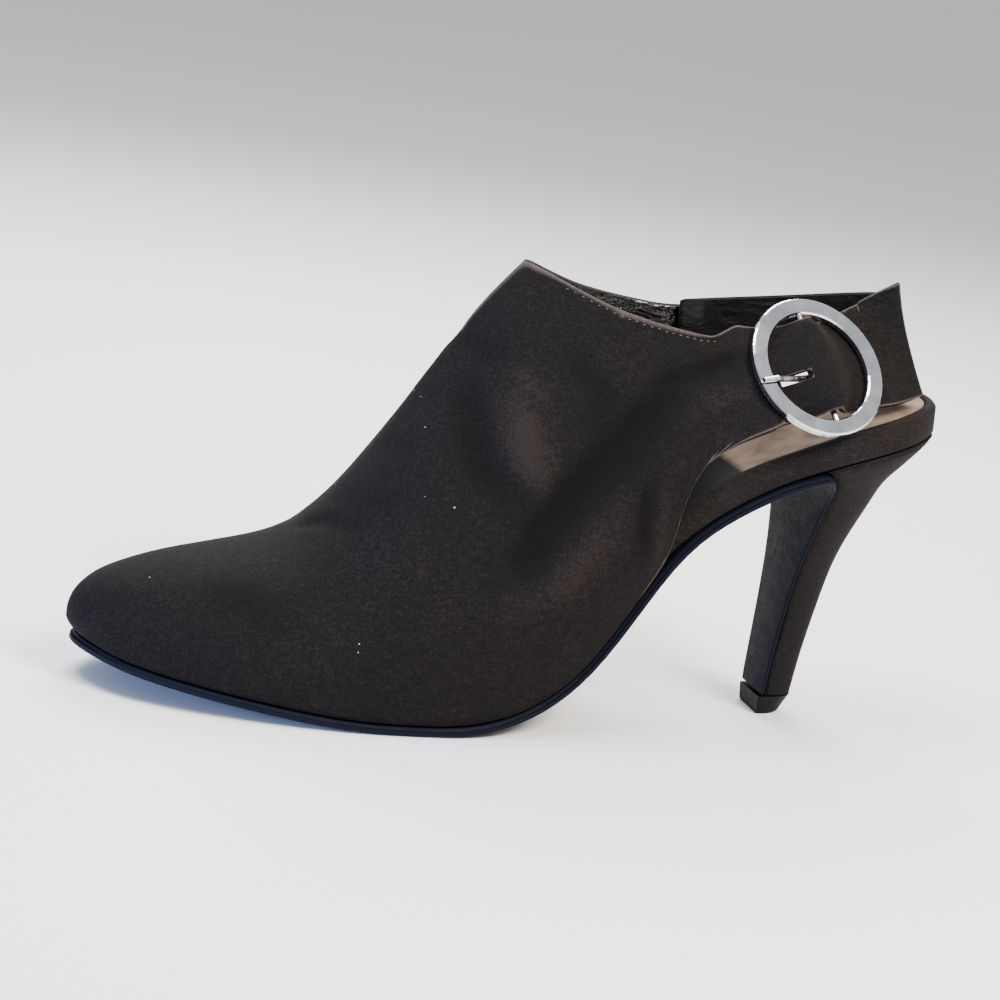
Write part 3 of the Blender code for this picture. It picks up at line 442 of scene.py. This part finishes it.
@dataclass(frozen=True)
class SockLeather:
    """Thin polyurethane lining leather: taupe, matt, with a fine pore and a soiled tread.

    Attributes:
        tone, shade: colours of the clean and the soiled surface, at the ends of soil_span.
        front: near-black colour painted over the front part, painted shade where the upper keeps the light
            off the sock.
        shade_edge_mm: where along the shoe the painted shade gives way to the taupe.
        soil_mm, pore_mm: sizes of the soiled clouds and of the pores.
        roughness, gleam: a matt surface that mirrors little.
        pore_strength, pore_depth_mm: bump of the pores.
    """

    name: str = "taupe_lining_leather"
    tone: str = "85715f"
    shade: str = "5f4f44"
    # painted shade colour for the part of the sock under the upper
    front: str = "0c0b0b"
    shade_edge_mm: tuple[float, float] = (84.0, 86.0)
    soil_mm: float = 9.0
    soil_span: tuple[float, float] = (0.32, 0.62)
    pore_mm: float = 0.7
    roughness: float = 0.62
    gleam: float = 0.12
    pore_strength: float = 0.22
    pore_depth_mm: float = 0.08

    def make(self) -> bpy.types.Material:
        """Build the material: clouds of soiling, small pores and a matt finish.

        Returns:
            The material.
        """
        recipe = Recipe(self.name)
        soil = recipe.noise(self.soil_mm, detail=5.0)
        pore = recipe.cells(self.pore_mm).outputs["Distance"]
        taupe = recipe.ramp(soil, {self.soil_span[0]: self.shade, self.soil_span[1]: self.tone})
        # painted shade: the sock is painted near black ahead of the waist, where the upper keeps the light
        # off it
        along = recipe.add("SeparateXYZ", {"Vector": recipe.place}).outputs["X"]
        shade_edge = (self.shade_edge_mm[0] * MM, self.shade_edge_mm[1] * MM)
        back = recipe.spread(along, (0.0, 1.0), shade_edge)
        return recipe.finish({
            "Base Color": recipe.mix(back, linear(self.front), taupe),
            "Roughness": self.roughness,
            "Specular IOR Level": self.gleam,
            "Normal": recipe.bump(pore, self.pore_strength, self.pore_depth_mm)})


@dataclass(frozen=True)
class QuarterLining:
    """Coated black lining, glued in: shiny, drawn into small wrinkles that run along the collar.

    Attributes:
        tone, crest: colours of the furrows and the crests, at the ends of tone_span; the paler crests and
            darker furrows are painted light and shade.
        wrinkle_mm, stretch: size of the wrinkles and how they are drawn out.
        twist: how uneven they are.
        gloss, shine: roughness of the coat, and how much it mirrors.
        wrinkle_strength, wrinkle_depth_mm: bump of the wrinkles, deep enough to glint.
    """

    name: str = "coated_quarter_lining"
    tone: str = "08080a"
    lit_crest: str = "121216"
    tone_span: tuple[float, float] = (0.3, 0.75)
    wrinkle_mm: float = 7.0
    stretch: Point = (0.8, 1.0, 1.5)
    twist: float = 1.2
    gloss: float = 0.20
    shine: float = 0.6
    wrinkle_strength: float = 0.9
    wrinkle_depth_mm: float = 1.4

    def make(self) -> bpy.types.Material:
        """Build the material: glossy black with stretched wrinkles.

        Returns:
            The material.
        """
        recipe = Recipe(self.name)
        wrinkle = recipe.noise(self.wrinkle_mm, detail=3.0, distortion=self.twist, stretch=self.stretch)
        # painted light and shade: the wrinkles' crests are painted paler than their furrows
        return recipe.finish({
            "Base Color": recipe.ramp(wrinkle, {self.tone_span[0]: self.tone, self.tone_span[1]: self.lit_crest}),
            "Roughness": self.gloss,
            "Specular IOR Level": self.shine,
            "Normal": recipe.bump(wrinkle, self.wrinkle_strength, self.wrinkle_depth_mm)})


@dataclass(frozen=True)
class Thread:
    """Twisted polyester sewing thread, bright where it lies over the edge.

    Attributes:
        tone, shade: colours of the strands and the gaps between them, at the ends of tone_span; the darker
            gaps are painted shade.
        twist_mm: distance from one strand to the next along the thread.
        wobble: how uneven the twist is.
    """

    name: str = "polyester_thread"
    tone: str = "55514e"
    shade: str = "2f2c2b"
    tone_span: tuple[float, float] = (0.1, 0.8)
    twist_mm: float = 0.66
    wobble: float = 1.0
    roughness: float = 0.42
    strand_strength: float = 0.3
    strand_depth_mm: float = 0.05

    def make(self) -> bpy.types.Material:
        """Build the material: twisted strands.

        Returns:
            The material.
        """
        recipe = Recipe(self.name)
        scale = WAVE_REPEAT * per_mm(self.twist_mm)
        wave = recipe.add("TexWave", {"Vector": recipe.place, "Scale": scale, "Distortion": self.wobble})
        strand = wave.outputs["Fac"]
        # painted shade: the gaps between the strands are painted darker than the strands
        return recipe.finish({
            "Base Color": recipe.ramp(strand, {self.tone_span[0]: self.shade, self.tone_span[1]: self.tone}),
            "Roughness": self.roughness,
            "Normal": recipe.bump(strand, self.strand_strength, self.strand_depth_mm)})


@dataclass(frozen=True)
class StudioPaper:
    """Matt painted paper for the floor.

    Attributes:
        tone, shade: colours of its faint clouds, at the ends of tone_span.
        cloud_mm: size of the clouds.
    """

    name: str = "studio_paper"
    tone: str = "f1f0ee"
    shade: str = "eeedeb"
    tone_span: tuple[float, float] = (0.3, 0.7)
    cloud_mm: float = 300.0
    roughness: float = 0.8

    def make(self) -> bpy.types.Material:
        """Build the material: nearly even, with a faint cloud.

        Returns:
            The material.
        """
        recipe = Recipe(self.name)
        cloud = recipe.noise(self.cloud_mm)
        return recipe.finish({
            "Base Color": recipe.ramp(cloud, {self.tone_span[0]: self.shade, self.tone_span[1]: self.tone}),
            "Roughness": self.roughness})


@dataclass(frozen=True)
class Fold:
    """A soft trough or ridge along a line on the upper, in millimetres.

    Attributes:
        line: points (x, y, z) that it follows.
        depth: how deep it goes in its middle, or how high if negative.
        width: half its breadth, to where it has nearly gone.
        reach: how many widths away it is felt at all.
        core: share of the width over which its depth falls off.
        fade: its depth follows half a wave along the line, less this share at each end.
    """

    line: tuple[Point, ...]
    depth: float
    width: float
    reach: float = 3.0
    core: float = 0.6
    fade: float = 0.12

    def push(self, point: Vector) -> float:
        """Tell how far the fold presses a point inwards.

        Args:
            point: a point of the upper, in metres.

        Returns:
            The depth there in metres, negative where it stands up.
        """
        best = math.inf
        share = 0.0
        count = len(self.line) - 1
        for k in range(count):
            start = Vector(self.line[k]) * MM
            run = Vector(self.line[k + 1]) * MM - start
            along = min(max((point - start).dot(run) / run.length_squared, 0.0), 1.0)
            gap = (point - start - run * along).length
            if gap < best:
                best = gap
                share = (k + along) / count
        if best > self.reach * self.width * MM:
            return 0.0
        ends = math.sqrt(math.sin(math.pi * (self.fade + (1.0 - 2.0 * self.fade) * share)))
        return self.depth * MM * ends * math.exp(-(best / (self.core * self.width * MM)) ** 2)


# columns: the line, the depth (a ridge if negative) and the half breadth
FOLDS = (
    # the broad trough that runs down from the strap across the waist
    Fold(((58.0, -26.0, 90.0), (53.1, -26.0, 84.4), (45.3, -27.9, 73.8), (34.4, -29.5, 63.1),
          (27.8, -31.3, 53.6), (25.4, -32.9, 45.4)), 1.7, 9.0),
    # the hollow beside the tongue bone and the swelling behind it
    Fold(((9.1, -10.6, 84.1), (10.0, -17.1, 76.3), (12.1, -23.0, 67.9), (18.4, -27.5, 62.0)), 1.0, 8.0),
    Fold(((20.7, -18.4, 83.8), (22.8, -23.7, 74.3), (27.7, -28.0, 65.3)), -1.1, 9.0),
    # the crease where the vamp bends, and the ripples above it
    Fold(((-26.0, 12.0, 43.0), (-27.1, 0.9, 44.2), (-21.9, -6.1, 47.5), (-15.9, -15.7, 48.8)), 0.9, 3.2),
    Fold(((-19.0, 9.0, 52.0), (-18.8, 0.7, 52.9), (-15.1, -9.8, 53.5), (-9.8, -16.7, 55.2)), 0.5, 2.8),
    Fold(((-9.0, 9.0, 66.0), (-8.0, -1.0, 68.0), (-3.0, -9.0, 68.5)), 0.45, 3.0),
    Fold(((9.0, 8.0, 96.0), (10.4, 0.8, 97.5), (14.0, -5.9, 95.5), (17.5, -9.3, 95.3)), 0.7, 3.0),
    # the pull of the strap towards the buckle
    Fold(((57.6, -23.4, 94.9), (67.7, -23.4, 98.3), (78.8, -21.1, 101.9)), 0.9, 4.5),
    Fold(((60.0, -25.0, 86.0), (72.0, -25.0, 90.0), (82.0, -23.5, 95.0)), -0.5, 4.0),
    # upright pulls in front of the lateral cut-out
    Fold(((56.0, -30.1, 67.9), (55.2, -30.9, 59.4), (56.3, -30.7, 50.8)), 0.9, 3.6),
    Fold(((60.3, -30.1, 68.1), (60.1, -30.6, 58.6), (61.8, -28.9, 49.6)), -0.5, 3.0),
    # small marks of wear
    Fold(((19.5, -12.7, 92.4), (23.6, -16.2, 90.4), (27.9, -19.6, 87.2)), -0.5, 4.0),
    Fold(((35.3, -17.2, 97.3), (41.5, -22.1, 89.5), (40.2, -25.1, 80.7)), 0.7, 6.0),
    Fold(((21.7, -34.7, 34.7), (35.4, -33.3, 43.0), (48.4, -31.3, 57.5)), -0.7, 9.0),
    Fold(((-52.1, -19.7, 28.9), (-37.8, -26.0, 27.0)), 0.5, 10.0),
    # the medial side bends at the same places
    Fold(((48.0, 24.0, 82.0), (38.0, 27.0, 70.0), (28.0, 29.0, 58.0)), 1.2, 8.0),
    Fold(((14.0, 14.0, 82.0), (18.0, 22.0, 70.0)), 0.8, 7.0),
    Fold(((-15.0, 20.0, 46.0), (-6.0, 28.0, 36.0)), 0.6, 5.0),
)


def linked(name: str, data: bpy.types.ID) -> bpy.types.Object:
    """Put new data into the scene.

    Args:
        name: the new object's name.
        data: its mesh, light or camera.

    Returns:
        The object.
    """
    item = bpy.data.objects.new(name, data)
    bpy.context.scene.collection.objects.link(item)
    return item


def aimed(place: Vector, target: Vector, roll_deg: float = 0.0) -> Matrix:
    """Work out how a camera or light stands that looks at a point.

    Args:
        place: where it stands, in metres.
        target: the point it looks at, in metres.
        roll_deg: how far it is turned about its line of sight, clockwise as it looks.

    Returns:
        Its world matrix.
    """
    turn = (target - place).to_track_quat("-Z", "Y").to_matrix().to_4x4()
    turn.translation = place
    return turn @ Matrix.Rotation(math.radians(-roll_deg), 4, "Z")


def merged_copy(node: str, name: str, merge_mm: float = 0.02, thin_mm: float = 0.01, flat_deg: float = 40.0,
                shape_deg: float = 60.0) -> bpy.types.Object:
    """Copy a CAD node's mesh into a new object, with its triangles merged to quads.

    Args:
        node: the CAD node.
        name: the new object's name.
        merge_mm: vertices nearer than this become one.
        thin_mm: edges shorter than this go.
        flat_deg: triangles that meet at more than this stay apart.
        shape_deg: how far a quad's corners may be from square.

    Returns:
        The new object, linked to the scene.
    """
    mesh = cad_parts[node].data.copy()
    mesh.materials.clear()
    bm = bmesh.new()
    bm.from_mesh(mesh)
    bmesh.ops.remove_doubles(bm, verts=bm.verts, dist=merge_mm * MM)
    bmesh.ops.dissolve_degenerate(bm, edges=bm.edges, dist=thin_mm * MM)
    bmesh.ops.join_triangles(bm, faces=bm.faces, angle_face_threshold=math.radians(flat_deg),
                             angle_shape_threshold=math.radians(shape_deg))
    bm.to_mesh(mesh)
    bm.free()
    return linked(name, mesh)


def subdivided(item: bpy.types.Object, levels: int, sharp_deg: float, crease: float) -> None:
    """Round an object by subdivision, its sharp edges kept, and apply the result.

    Args:
        item: the object.
        levels: rounds of subdivision.
        sharp_deg: edges that turn more than this stay crisp.
        crease: how crisp they stay, from 0 to 1.
    """
    bm = bmesh.new()
    bm.from_mesh(item.data)
    layer = bm.edges.layers.float.get("crease_edge") or bm.edges.layers.float.new("crease_edge")
    for edge in bm.edges:
        if len(edge.link_faces) == 2 and edge.calc_face_angle(0.0) > math.radians(sharp_deg):
            edge[layer] = crease
    bm.to_mesh(item.data)
    bm.free()
    smooth = item.modifiers.new("round", "SUBSURF")
    smooth.levels = levels
    smooth.render_levels = levels
    graph = bpy.context.evaluated_depsgraph_get()
    fresh = bpy.data.meshes.new_from_object(item.evaluated_get(graph))
    item.modifiers.clear()
    item.data = fresh


def finish_mesh(item: bpy.types.Object, sharp_deg: float) -> None:
    """Shade an object smooth up to an angle.

    Args:
        item: the object.
        sharp_deg: edges that turn more than this stay sharp.
    """
    item.data.shade_smooth()
    item.data.set_sharp_from_angle(angle=math.radians(sharp_deg))


def dress(item: bpy.types.Object, *materials: bpy.types.Material) -> None:
    """Give an object its materials.

    Args:
        item: the object.
        materials: the materials, in slot order.
    """
    item.data.materials.clear()
    for material in materials:
        item.data.materials.append(material)


def report(item: bpy.types.Object) -> None:
    """Log a piece's name and its number of faces."""
    LOG.info("%s: %d faces", item.name, len(item.data.polygons))


@dataclass
class SuedeUpper:
    """The upper with its soft folds, its glossy lining and the thread along the collar, in millimetres.

    Attributes:
        levels, sharp_deg, crease, shade_deg: how the skin is rounded, and where it stays crisp.
        strength: how much deeper the folds go than their table says.
        full_fold_shade: height of a ridge painted with the palest nap, and depth of a trough painted with the
            darkest, as painted light and shade.
        rim_deg: edges that turn more than this get the painted edge highlight, behind or above the places in
            rim_from.
        axis_low, axis_high, axis_slope, axis_from: the foot's axis climbs from its low to its high
            end, with this slope behind this place.
        axis_weight: how much height counts against breadth in the direction away from the axis.
        inner_facing: faces that point this much towards the axis may be inside.
        probe_start, probe_reach: a face is inside if a line from it meets the upper again.
        stitch_from, stitch_to, stitch_pitch: where along the shoe the stitches lie.
        stitch_length, stitch_radius, stitch_lift: a stitch's size and how far it stands out.
        stitch_facets, stitch_shade_deg: its facets round and along it, and how it is shaded.
        edge_drop: how far the stitches are under the edge.
        scan_side: how far to the lateral side the feeling for the edge starts.
        scan_top, scan_step, scan_count: the heights that it tries, from the top down.
    """

    levels: int = 2
    sharp_deg: float = 52.0
    crease: float = 0.7
    shade_deg: float = 48.0
    strength: float = 1.5
    full_fold_shade: float = 1.6
    rim_deg: float = 36.0
    rim_from: tuple[float, float] = (60.0, 80.0)
    axis_low: float = 24.0
    axis_high: float = 104.0
    axis_slope: float = 0.62
    axis_from: float = -40.0
    axis_weight: float = 0.55
    inner_facing: float = -0.2
    probe_start: float = 0.2
    probe_reach: float = 140.0
    stitch_from: float = 33.0
    stitch_to: float = 74.0
    stitch_pitch: float = 1.9
    stitch_length: float = 0.9
    stitch_radius: float = 0.13
    stitch_lift: float = 0.10
    stitch_facets: tuple[int, int] = (8, 6)
    stitch_shade_deg: float = 60.0
    edge_drop: float = 1.3
    scan_side: float = 80.0
    scan_top: float = 135.0
    scan_step: float = 0.25
    scan_count: int = 260
    folds: tuple[Fold, ...] = FOLDS

    def outward(self, point: Vector) -> Vector:
        """Find the direction away from the foot's axis.

        Args:
            point: a point of the upper, in metres.

        Returns:
            A unit vector across the foot.
        """
        climb = self.axis_low + self.axis_slope * (point.x / MM - self.axis_from)
        height = max(self.axis_low, min(self.axis_high, climb)) * MM
        across = Vector((0.0, point.y, (point.z - height) * self.axis_weight))
        return across.normalized()

    def press_folds(self, bm: bmesh.types.BMesh) -> None:
        """Move the skin by the folds, and note at each vertex the painted light and shade of the folds and
        which edges get a painted highlight.

        Args:
            bm: the skin.
        """
        wear_and_fold_shade = bm.verts.layers.float.new("wear_and_fold_shade")
        rim = bm.verts.layers.float.new("rim")
        # painted highlight: mark the sharp edges whose nap is drawn pale
        for edge in bm.edges:
            if len(edge.link_faces) == 2 and edge.calc_face_angle(0.0) > math.radians(self.rim_deg):
                for vert in edge.verts:
                    vert[rim] = float(vert.co.x > self.rim_from[0] * MM or vert.co.z > self.rim_from[1] * MM)
        for vert in bm.verts:
            depth = self.strength * sum(fold.push(vert.co) for fold in self.folds)
            if depth:
                vert.co -= self.outward(vert.co) * depth
            # painted light and shade: a ridge stores a value that pales the nap, a trough one that darkens it
            vert[wear_and_fold_shade] = max(-1.0, min(1.0, -depth / (self.full_fold_shade * MM)))
        bm.normal_update()

    def line_inside(self, bm: bmesh.types.BMesh) -> None:
        """Give the second material to the faces that see the upper's other side.

        Args:
            bm: the skin.
        """
        tree = BVHTree.FromBMesh(bm)
        for face in bm.faces:
            middle = face.calc_center_median()
            inner = face.normal.dot(self.outward(middle)) < self.inner_facing
            if inner:
                start = middle + face.normal * self.probe_start * MM
                inner = tree.ray_cast(start, face.normal, self.probe_reach * MM)[0] is not None
            face.material_index = int(inner)

    def build(self, suede: bpy.types.Material, lining: bpy.types.Material) -> bpy.types.Object:
        """Make the folded skin from the CAD solid and stand it in for that node.

        Args:
            suede: material of the outside.
            lining: material of the inside.

        Returns:
            The skin.
        """
        skin = merged_copy("upper", "upper_skin")
        dress(skin, suede, lining)
        subdivided(skin, self.levels, self.sharp_deg, self.crease)
        bm = bmesh.new()
        bm.from_mesh(skin.data)
        self.press_folds(bm)
        self.line_inside(bm)
        bm.to_mesh(skin.data)
        bm.free()
        finish_mesh(skin, self.shade_deg)
        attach(skin, "root")
        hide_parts("upper")
        return skin

    def collar_spots(self, skin: bpy.types.Object) -> list[tuple[Vector, Vector]]:
        """Feel from the lateral side for the collar's edge, and note places just under it.

        Args:
            skin: the upper's skin.

        Returns:
            Points in metres with the skin's normal at each, from front to back.
        """
        tree = BVHTree.FromObject(skin, bpy.context.evaluated_depsgraph_get())
        inwards = Vector((0.0, 1.0, 0.0))
        spots: list[tuple[Vector, Vector]] = []
        x = self.stitch_from
        while x < self.stitch_to:
            for k in range(self.scan_count):
                z = self.scan_top - self.scan_step * k
                start = Vector((x, -self.scan_side, z)) * MM
                if tree.ray_cast(start, inwards, self.scan_side * MM)[0] is None:
                    continue
                start = Vector((x, -self.scan_side, z - self.edge_drop)) * MM
                hit, normal = tree.ray_cast(start, inwards, self.scan_side * MM)[:2]
                if hit is not None and normal.y < 0.0:
                    spots.append((hit, normal))
                break
            x += self.stitch_pitch
        return spots

    def collar_stitches(self, skin: bpy.types.Object, thread: bpy.types.Material) -> bpy.types.Object:
        """Lay a row of short stitches just under the near edge of the collar.

        Args:
            skin: the upper's skin.
            thread: material of the stitches.

        Returns:
            The row, as one object.
        """
        spots = self.collar_spots(skin)
        around, rows = self.stitch_facets
        bm = bmesh.new()
        for (spot, normal), (following, _) in zip(spots, spots[1:]):
            run = (following - spot).normalized()
            side = run.cross(normal).normalized()
            middle = spot + normal * self.stitch_lift * MM
            made = bmesh.ops.create_uvsphere(bm, u_segments=around, v_segments=rows, radius=1.0)["verts"]
            for vert in made:
                local = vert.co.copy()
                vert.co = (middle + run * local.x * 0.5 * self.stitch_length * MM
                           + side * local.y * self.stitch_radius * MM
                           + normal * local.z * self.stitch_radius * MM)
        mesh = bpy.data.meshes.new("collar_stitches")
        bm.to_mesh(mesh)
        bm.free()
        row = linked("collar_stitches", mesh)
        dress(row, thread)
        finish_mesh(row, self.stitch_shade_deg)
        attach(row, "root")
        return row


@dataclass
class HeelStrap:
    """The strap round the heel.

    Attributes:
        levels, sharp_deg, crease, shade_deg: how the strap is rounded, and where it stays crisp.
        middle: a point (x, y) inside its bend, in millimetres.
        inner_facing: faces that point this much towards it are lined.
    """

    levels: int = 1
    sharp_deg: float = 40.0
    crease: float = 0.8
    shade_deg: float = 45.0
    middle: tuple[float, float] = (85.0, 0.0)
    inner_facing: float = -0.3

    def build(self, suede: bpy.types.Material, lining: bpy.types.Material) -> bpy.types.Object:
        """Round the strap, line its inner side and stand it in for its node.

        Args:
            suede: material of the outside.
            lining: material of the inside.

        Returns:
            The strap's skin.
        """
        strap = merged_copy("sling_strap", "sling_strap_skin")
        dress(strap, suede, lining)
        subdivided(strap, self.levels, self.sharp_deg, self.crease)
        middle = Vector((self.middle[0] * MM, self.middle[1] * MM, 0.0))
        for face in strap.data.polygons:
            away = face.center - middle
            away.z = 0.0
            face.material_index = int(face.normal.dot(away.normalized()) < self.inner_facing)
        finish_mesh(strap, self.shade_deg)
        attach(strap, "root")
        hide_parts("sling_strap")
        return strap


@dataclass
class Bottom:
    """Footbed, sole, heel and sock.

    Attributes:
        smooth: each node with the angle in degrees from which its edges stay sharp.
        slots: the slot of each node; not used.
        levels, crease: how the pieces are rounded, and how crisp their edges stay.
    """

    smooth: tuple[tuple[str, float], ...] = (
        ("footbed", 35.0), ("outsole", 28.0), ("heel", 40.0), ("sock", 35.0))
    slots: dict[str, str] = field(default_factory=lambda: {
        "footbed": "black_wrap_suede", "outsole": "black_resin", "heel": "black_heel_suede",
        "sock": "taupe_sock_lining"})
    levels: int = 1
    crease: float = 0.9

    def build(self, finishes: dict[str, bpy.types.Material]) -> list[bpy.types.Object]:
        """Round each piece and stand it in for its node.

        Args:
            finishes: the material of each node.

        Returns:
            The pieces' skins.
        """
        made = []
        for node, sharp in self.smooth:
            item = merged_copy(node, node + "_skin")
            dress(item, finishes[node])
            subdivided(item, self.levels, sharp, self.crease)
            finish_mesh(item, sharp)
            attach(item, "root")
            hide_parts(node)
            made.append(item)
        return made


@dataclass
class HardPieces:
    """Buckle, prong and top piece, which show their CAD meshes as they are.

    Attributes:
        nodes: their nodes.
    """

    nodes: tuple[str, ...] = ("buckle", "prong", "top_lift")

    def build(self, finishes: dict[str, bpy.types.Material]) -> list[bpy.types.Object]:
        """Dress each piece.

        Args:
            finishes: the material of each node.

        Returns:
            The pieces.
        """
        made = [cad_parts[node] for node in self.nodes]
        for node, item in zip(self.nodes, made):
            dress(item, finishes[node])
        return made


@dataclass(frozen=True)
class AreaLight:
    """A soft rectangular light.

    Attributes:
        name: the light's name.
        place: where it hangs, in millimetres.
        size: its two sides, in millimetres.
        power: its power in watts.
        tone: its sRGB hex colour.
    """

    name: str
    place: Point
    size: tuple[float, float]
    power: float
    tone: str

    def hang(self, target: Vector) -> None:
        """Hang the light and aim it.

        Args:
            target: the point it shines at, in metres.
        """
        data = bpy.data.lights.new(self.name, "AREA")
        data.shape = "RECTANGLE"
        data.size = self.size[0] * MM
        data.size_y = self.size[1] * MM
        data.energy = self.power
        data.color = linear(self.tone)[:3]
        linked(self.name, data).matrix_world = aimed(Vector(self.place) * MM, target)


@dataclass
class Studio:
    """Plain floor, soft lights and the camera at the photograph's angle.

    Attributes:
        camera_place, target, roll_deg: where the camera stands, what it looks at and its roll.
        lens, sensor: its focal length and the breadth of its picture plane, in millimetres.
        nearest: the camera sees nothing nearer than this, in millimetres.
        floor_half: half the floor's side, in millimetres.
        light_target: the point that all lights shine at.
        air, air_strength: colour and strength of the light from all round.
    """

    camera_place: Point = (-218.2, -702.5, 235.4)
    target: Point = (26.1, 0.0, 54.5)
    roll_deg: float = -8.68
    lens: float = 103.5
    sensor: float = 36.0
    nearest: float = 10.0
    floor_half: float = 6000.0
    light_target: Point = (20.0, 0.0, 50.0)
    lights: tuple[AreaLight, ...] = (
        AreaLight("key_light", (330.0, -480.0, 640.0), (300.0, 300.0), 13.0, "fff4ea"),
        AreaLight("top_light", (-260.0, 40.0, 900.0), (500.0, 400.0), 10.0, "ffffff"),
        AreaLight("low_light", (-620.0, -260.0, 130.0), (380.0, 220.0), 6.5, "8fb2ff"),
        AreaLight("back_light", (150.0, 560.0, 620.0), (620.0, 380.0), 9.0, "ffffff"),
    )
    air: str = "f4f5f7"
    air_strength: float = 0.75

    def camera(self) -> None:
        """Make the camera, aimed at the shoe and rolled as the photograph is."""
        data = bpy.data.cameras.new("camera")
        data.lens = self.lens
        data.sensor_width = self.sensor
        data.clip_start = self.nearest * MM
        camera = linked("camera", data)
        camera.matrix_world = aimed(Vector(self.camera_place) * MM, Vector(self.target) * MM, self.roll_deg)
        bpy.context.scene.camera = camera

    def floor(self, paper: bpy.types.Material) -> None:
        """Lay the floor.

        Args:
            paper: its material.
        """
        bm = bmesh.new()
        bmesh.ops.create_grid(bm, x_segments=1, y_segments=1, size=self.floor_half * MM)
        mesh = bpy.data.meshes.new("studio_floor")
        bm.to_mesh(mesh)
        bm.free()
        floor = linked("studio_floor", mesh)
        dress(floor, paper)

    def light(self) -> None:
        """Hang the lights and set the light from all round."""
        for light in self.lights:
            light.hang(Vector(self.light_target) * MM)
        world = bpy.data.worlds.new("studio_air")
        world.use_nodes = True
        back = world.node_tree.nodes["Background"]
        back.inputs["Color"].default_value = linear(self.air)
        back.inputs["Strength"].default_value = self.air_strength
        bpy.context.scene.world = world


def main() -> None:
    """Build and dress the shoe, then the studio."""
    logging.basicConfig(level=logging.INFO, format="%(message)s")
    suede = Microsuede()
    strap_suede = Microsuede(name="strap_microsuede", deep="0a0908", mid="141110", pale_nap="262120")
    wrap = Microsuede(name="wrap_microsuede", grain_mm=0.5, deep="0d0c0c", mid="161313", pale_nap="2a2523")
    cover = Microsuede(name="heel_cover_microsuede", grain_mm=0.5, deep="0b0a0a", mid="131112", pale_nap="262121")
    sling_lining = QuarterLining(name="coated_sling_lining", gloss=0.6, shine=0.12)
    pin = Steel(name="polished_pin_steel", tone="d8d2c6", low=0.12, high=0.28)
    rubber = Resin(name="hard_top_piece_rubber", tone="0c0c0d", scuff="272523", roughness=0.5,
                   surface=Surface.WORN)
    upper = SuedeUpper()
    skin = upper.build(suede.make(), QuarterLining().make())
    report(skin)
    report(upper.collar_stitches(skin, Thread().make()))
    report(HeelStrap().build(strap_suede.make(), sling_lining.make()))
    finishes = {"footbed": wrap.make(), "sock": SockLeather().make(), "heel": cover.make(),
                "outsole": Resin().make(), "buckle": Steel().make(), "prong": pin.make(),
                "top_lift": rubber.make()}
    for item in Bottom().build(finishes) + HardPieces().build(finishes):
        report(item)
    studio = Studio()
    studio.camera()
    studio.floor(StudioPaper().make())
    studio.light()


if __name__ == "__main__":
    main()
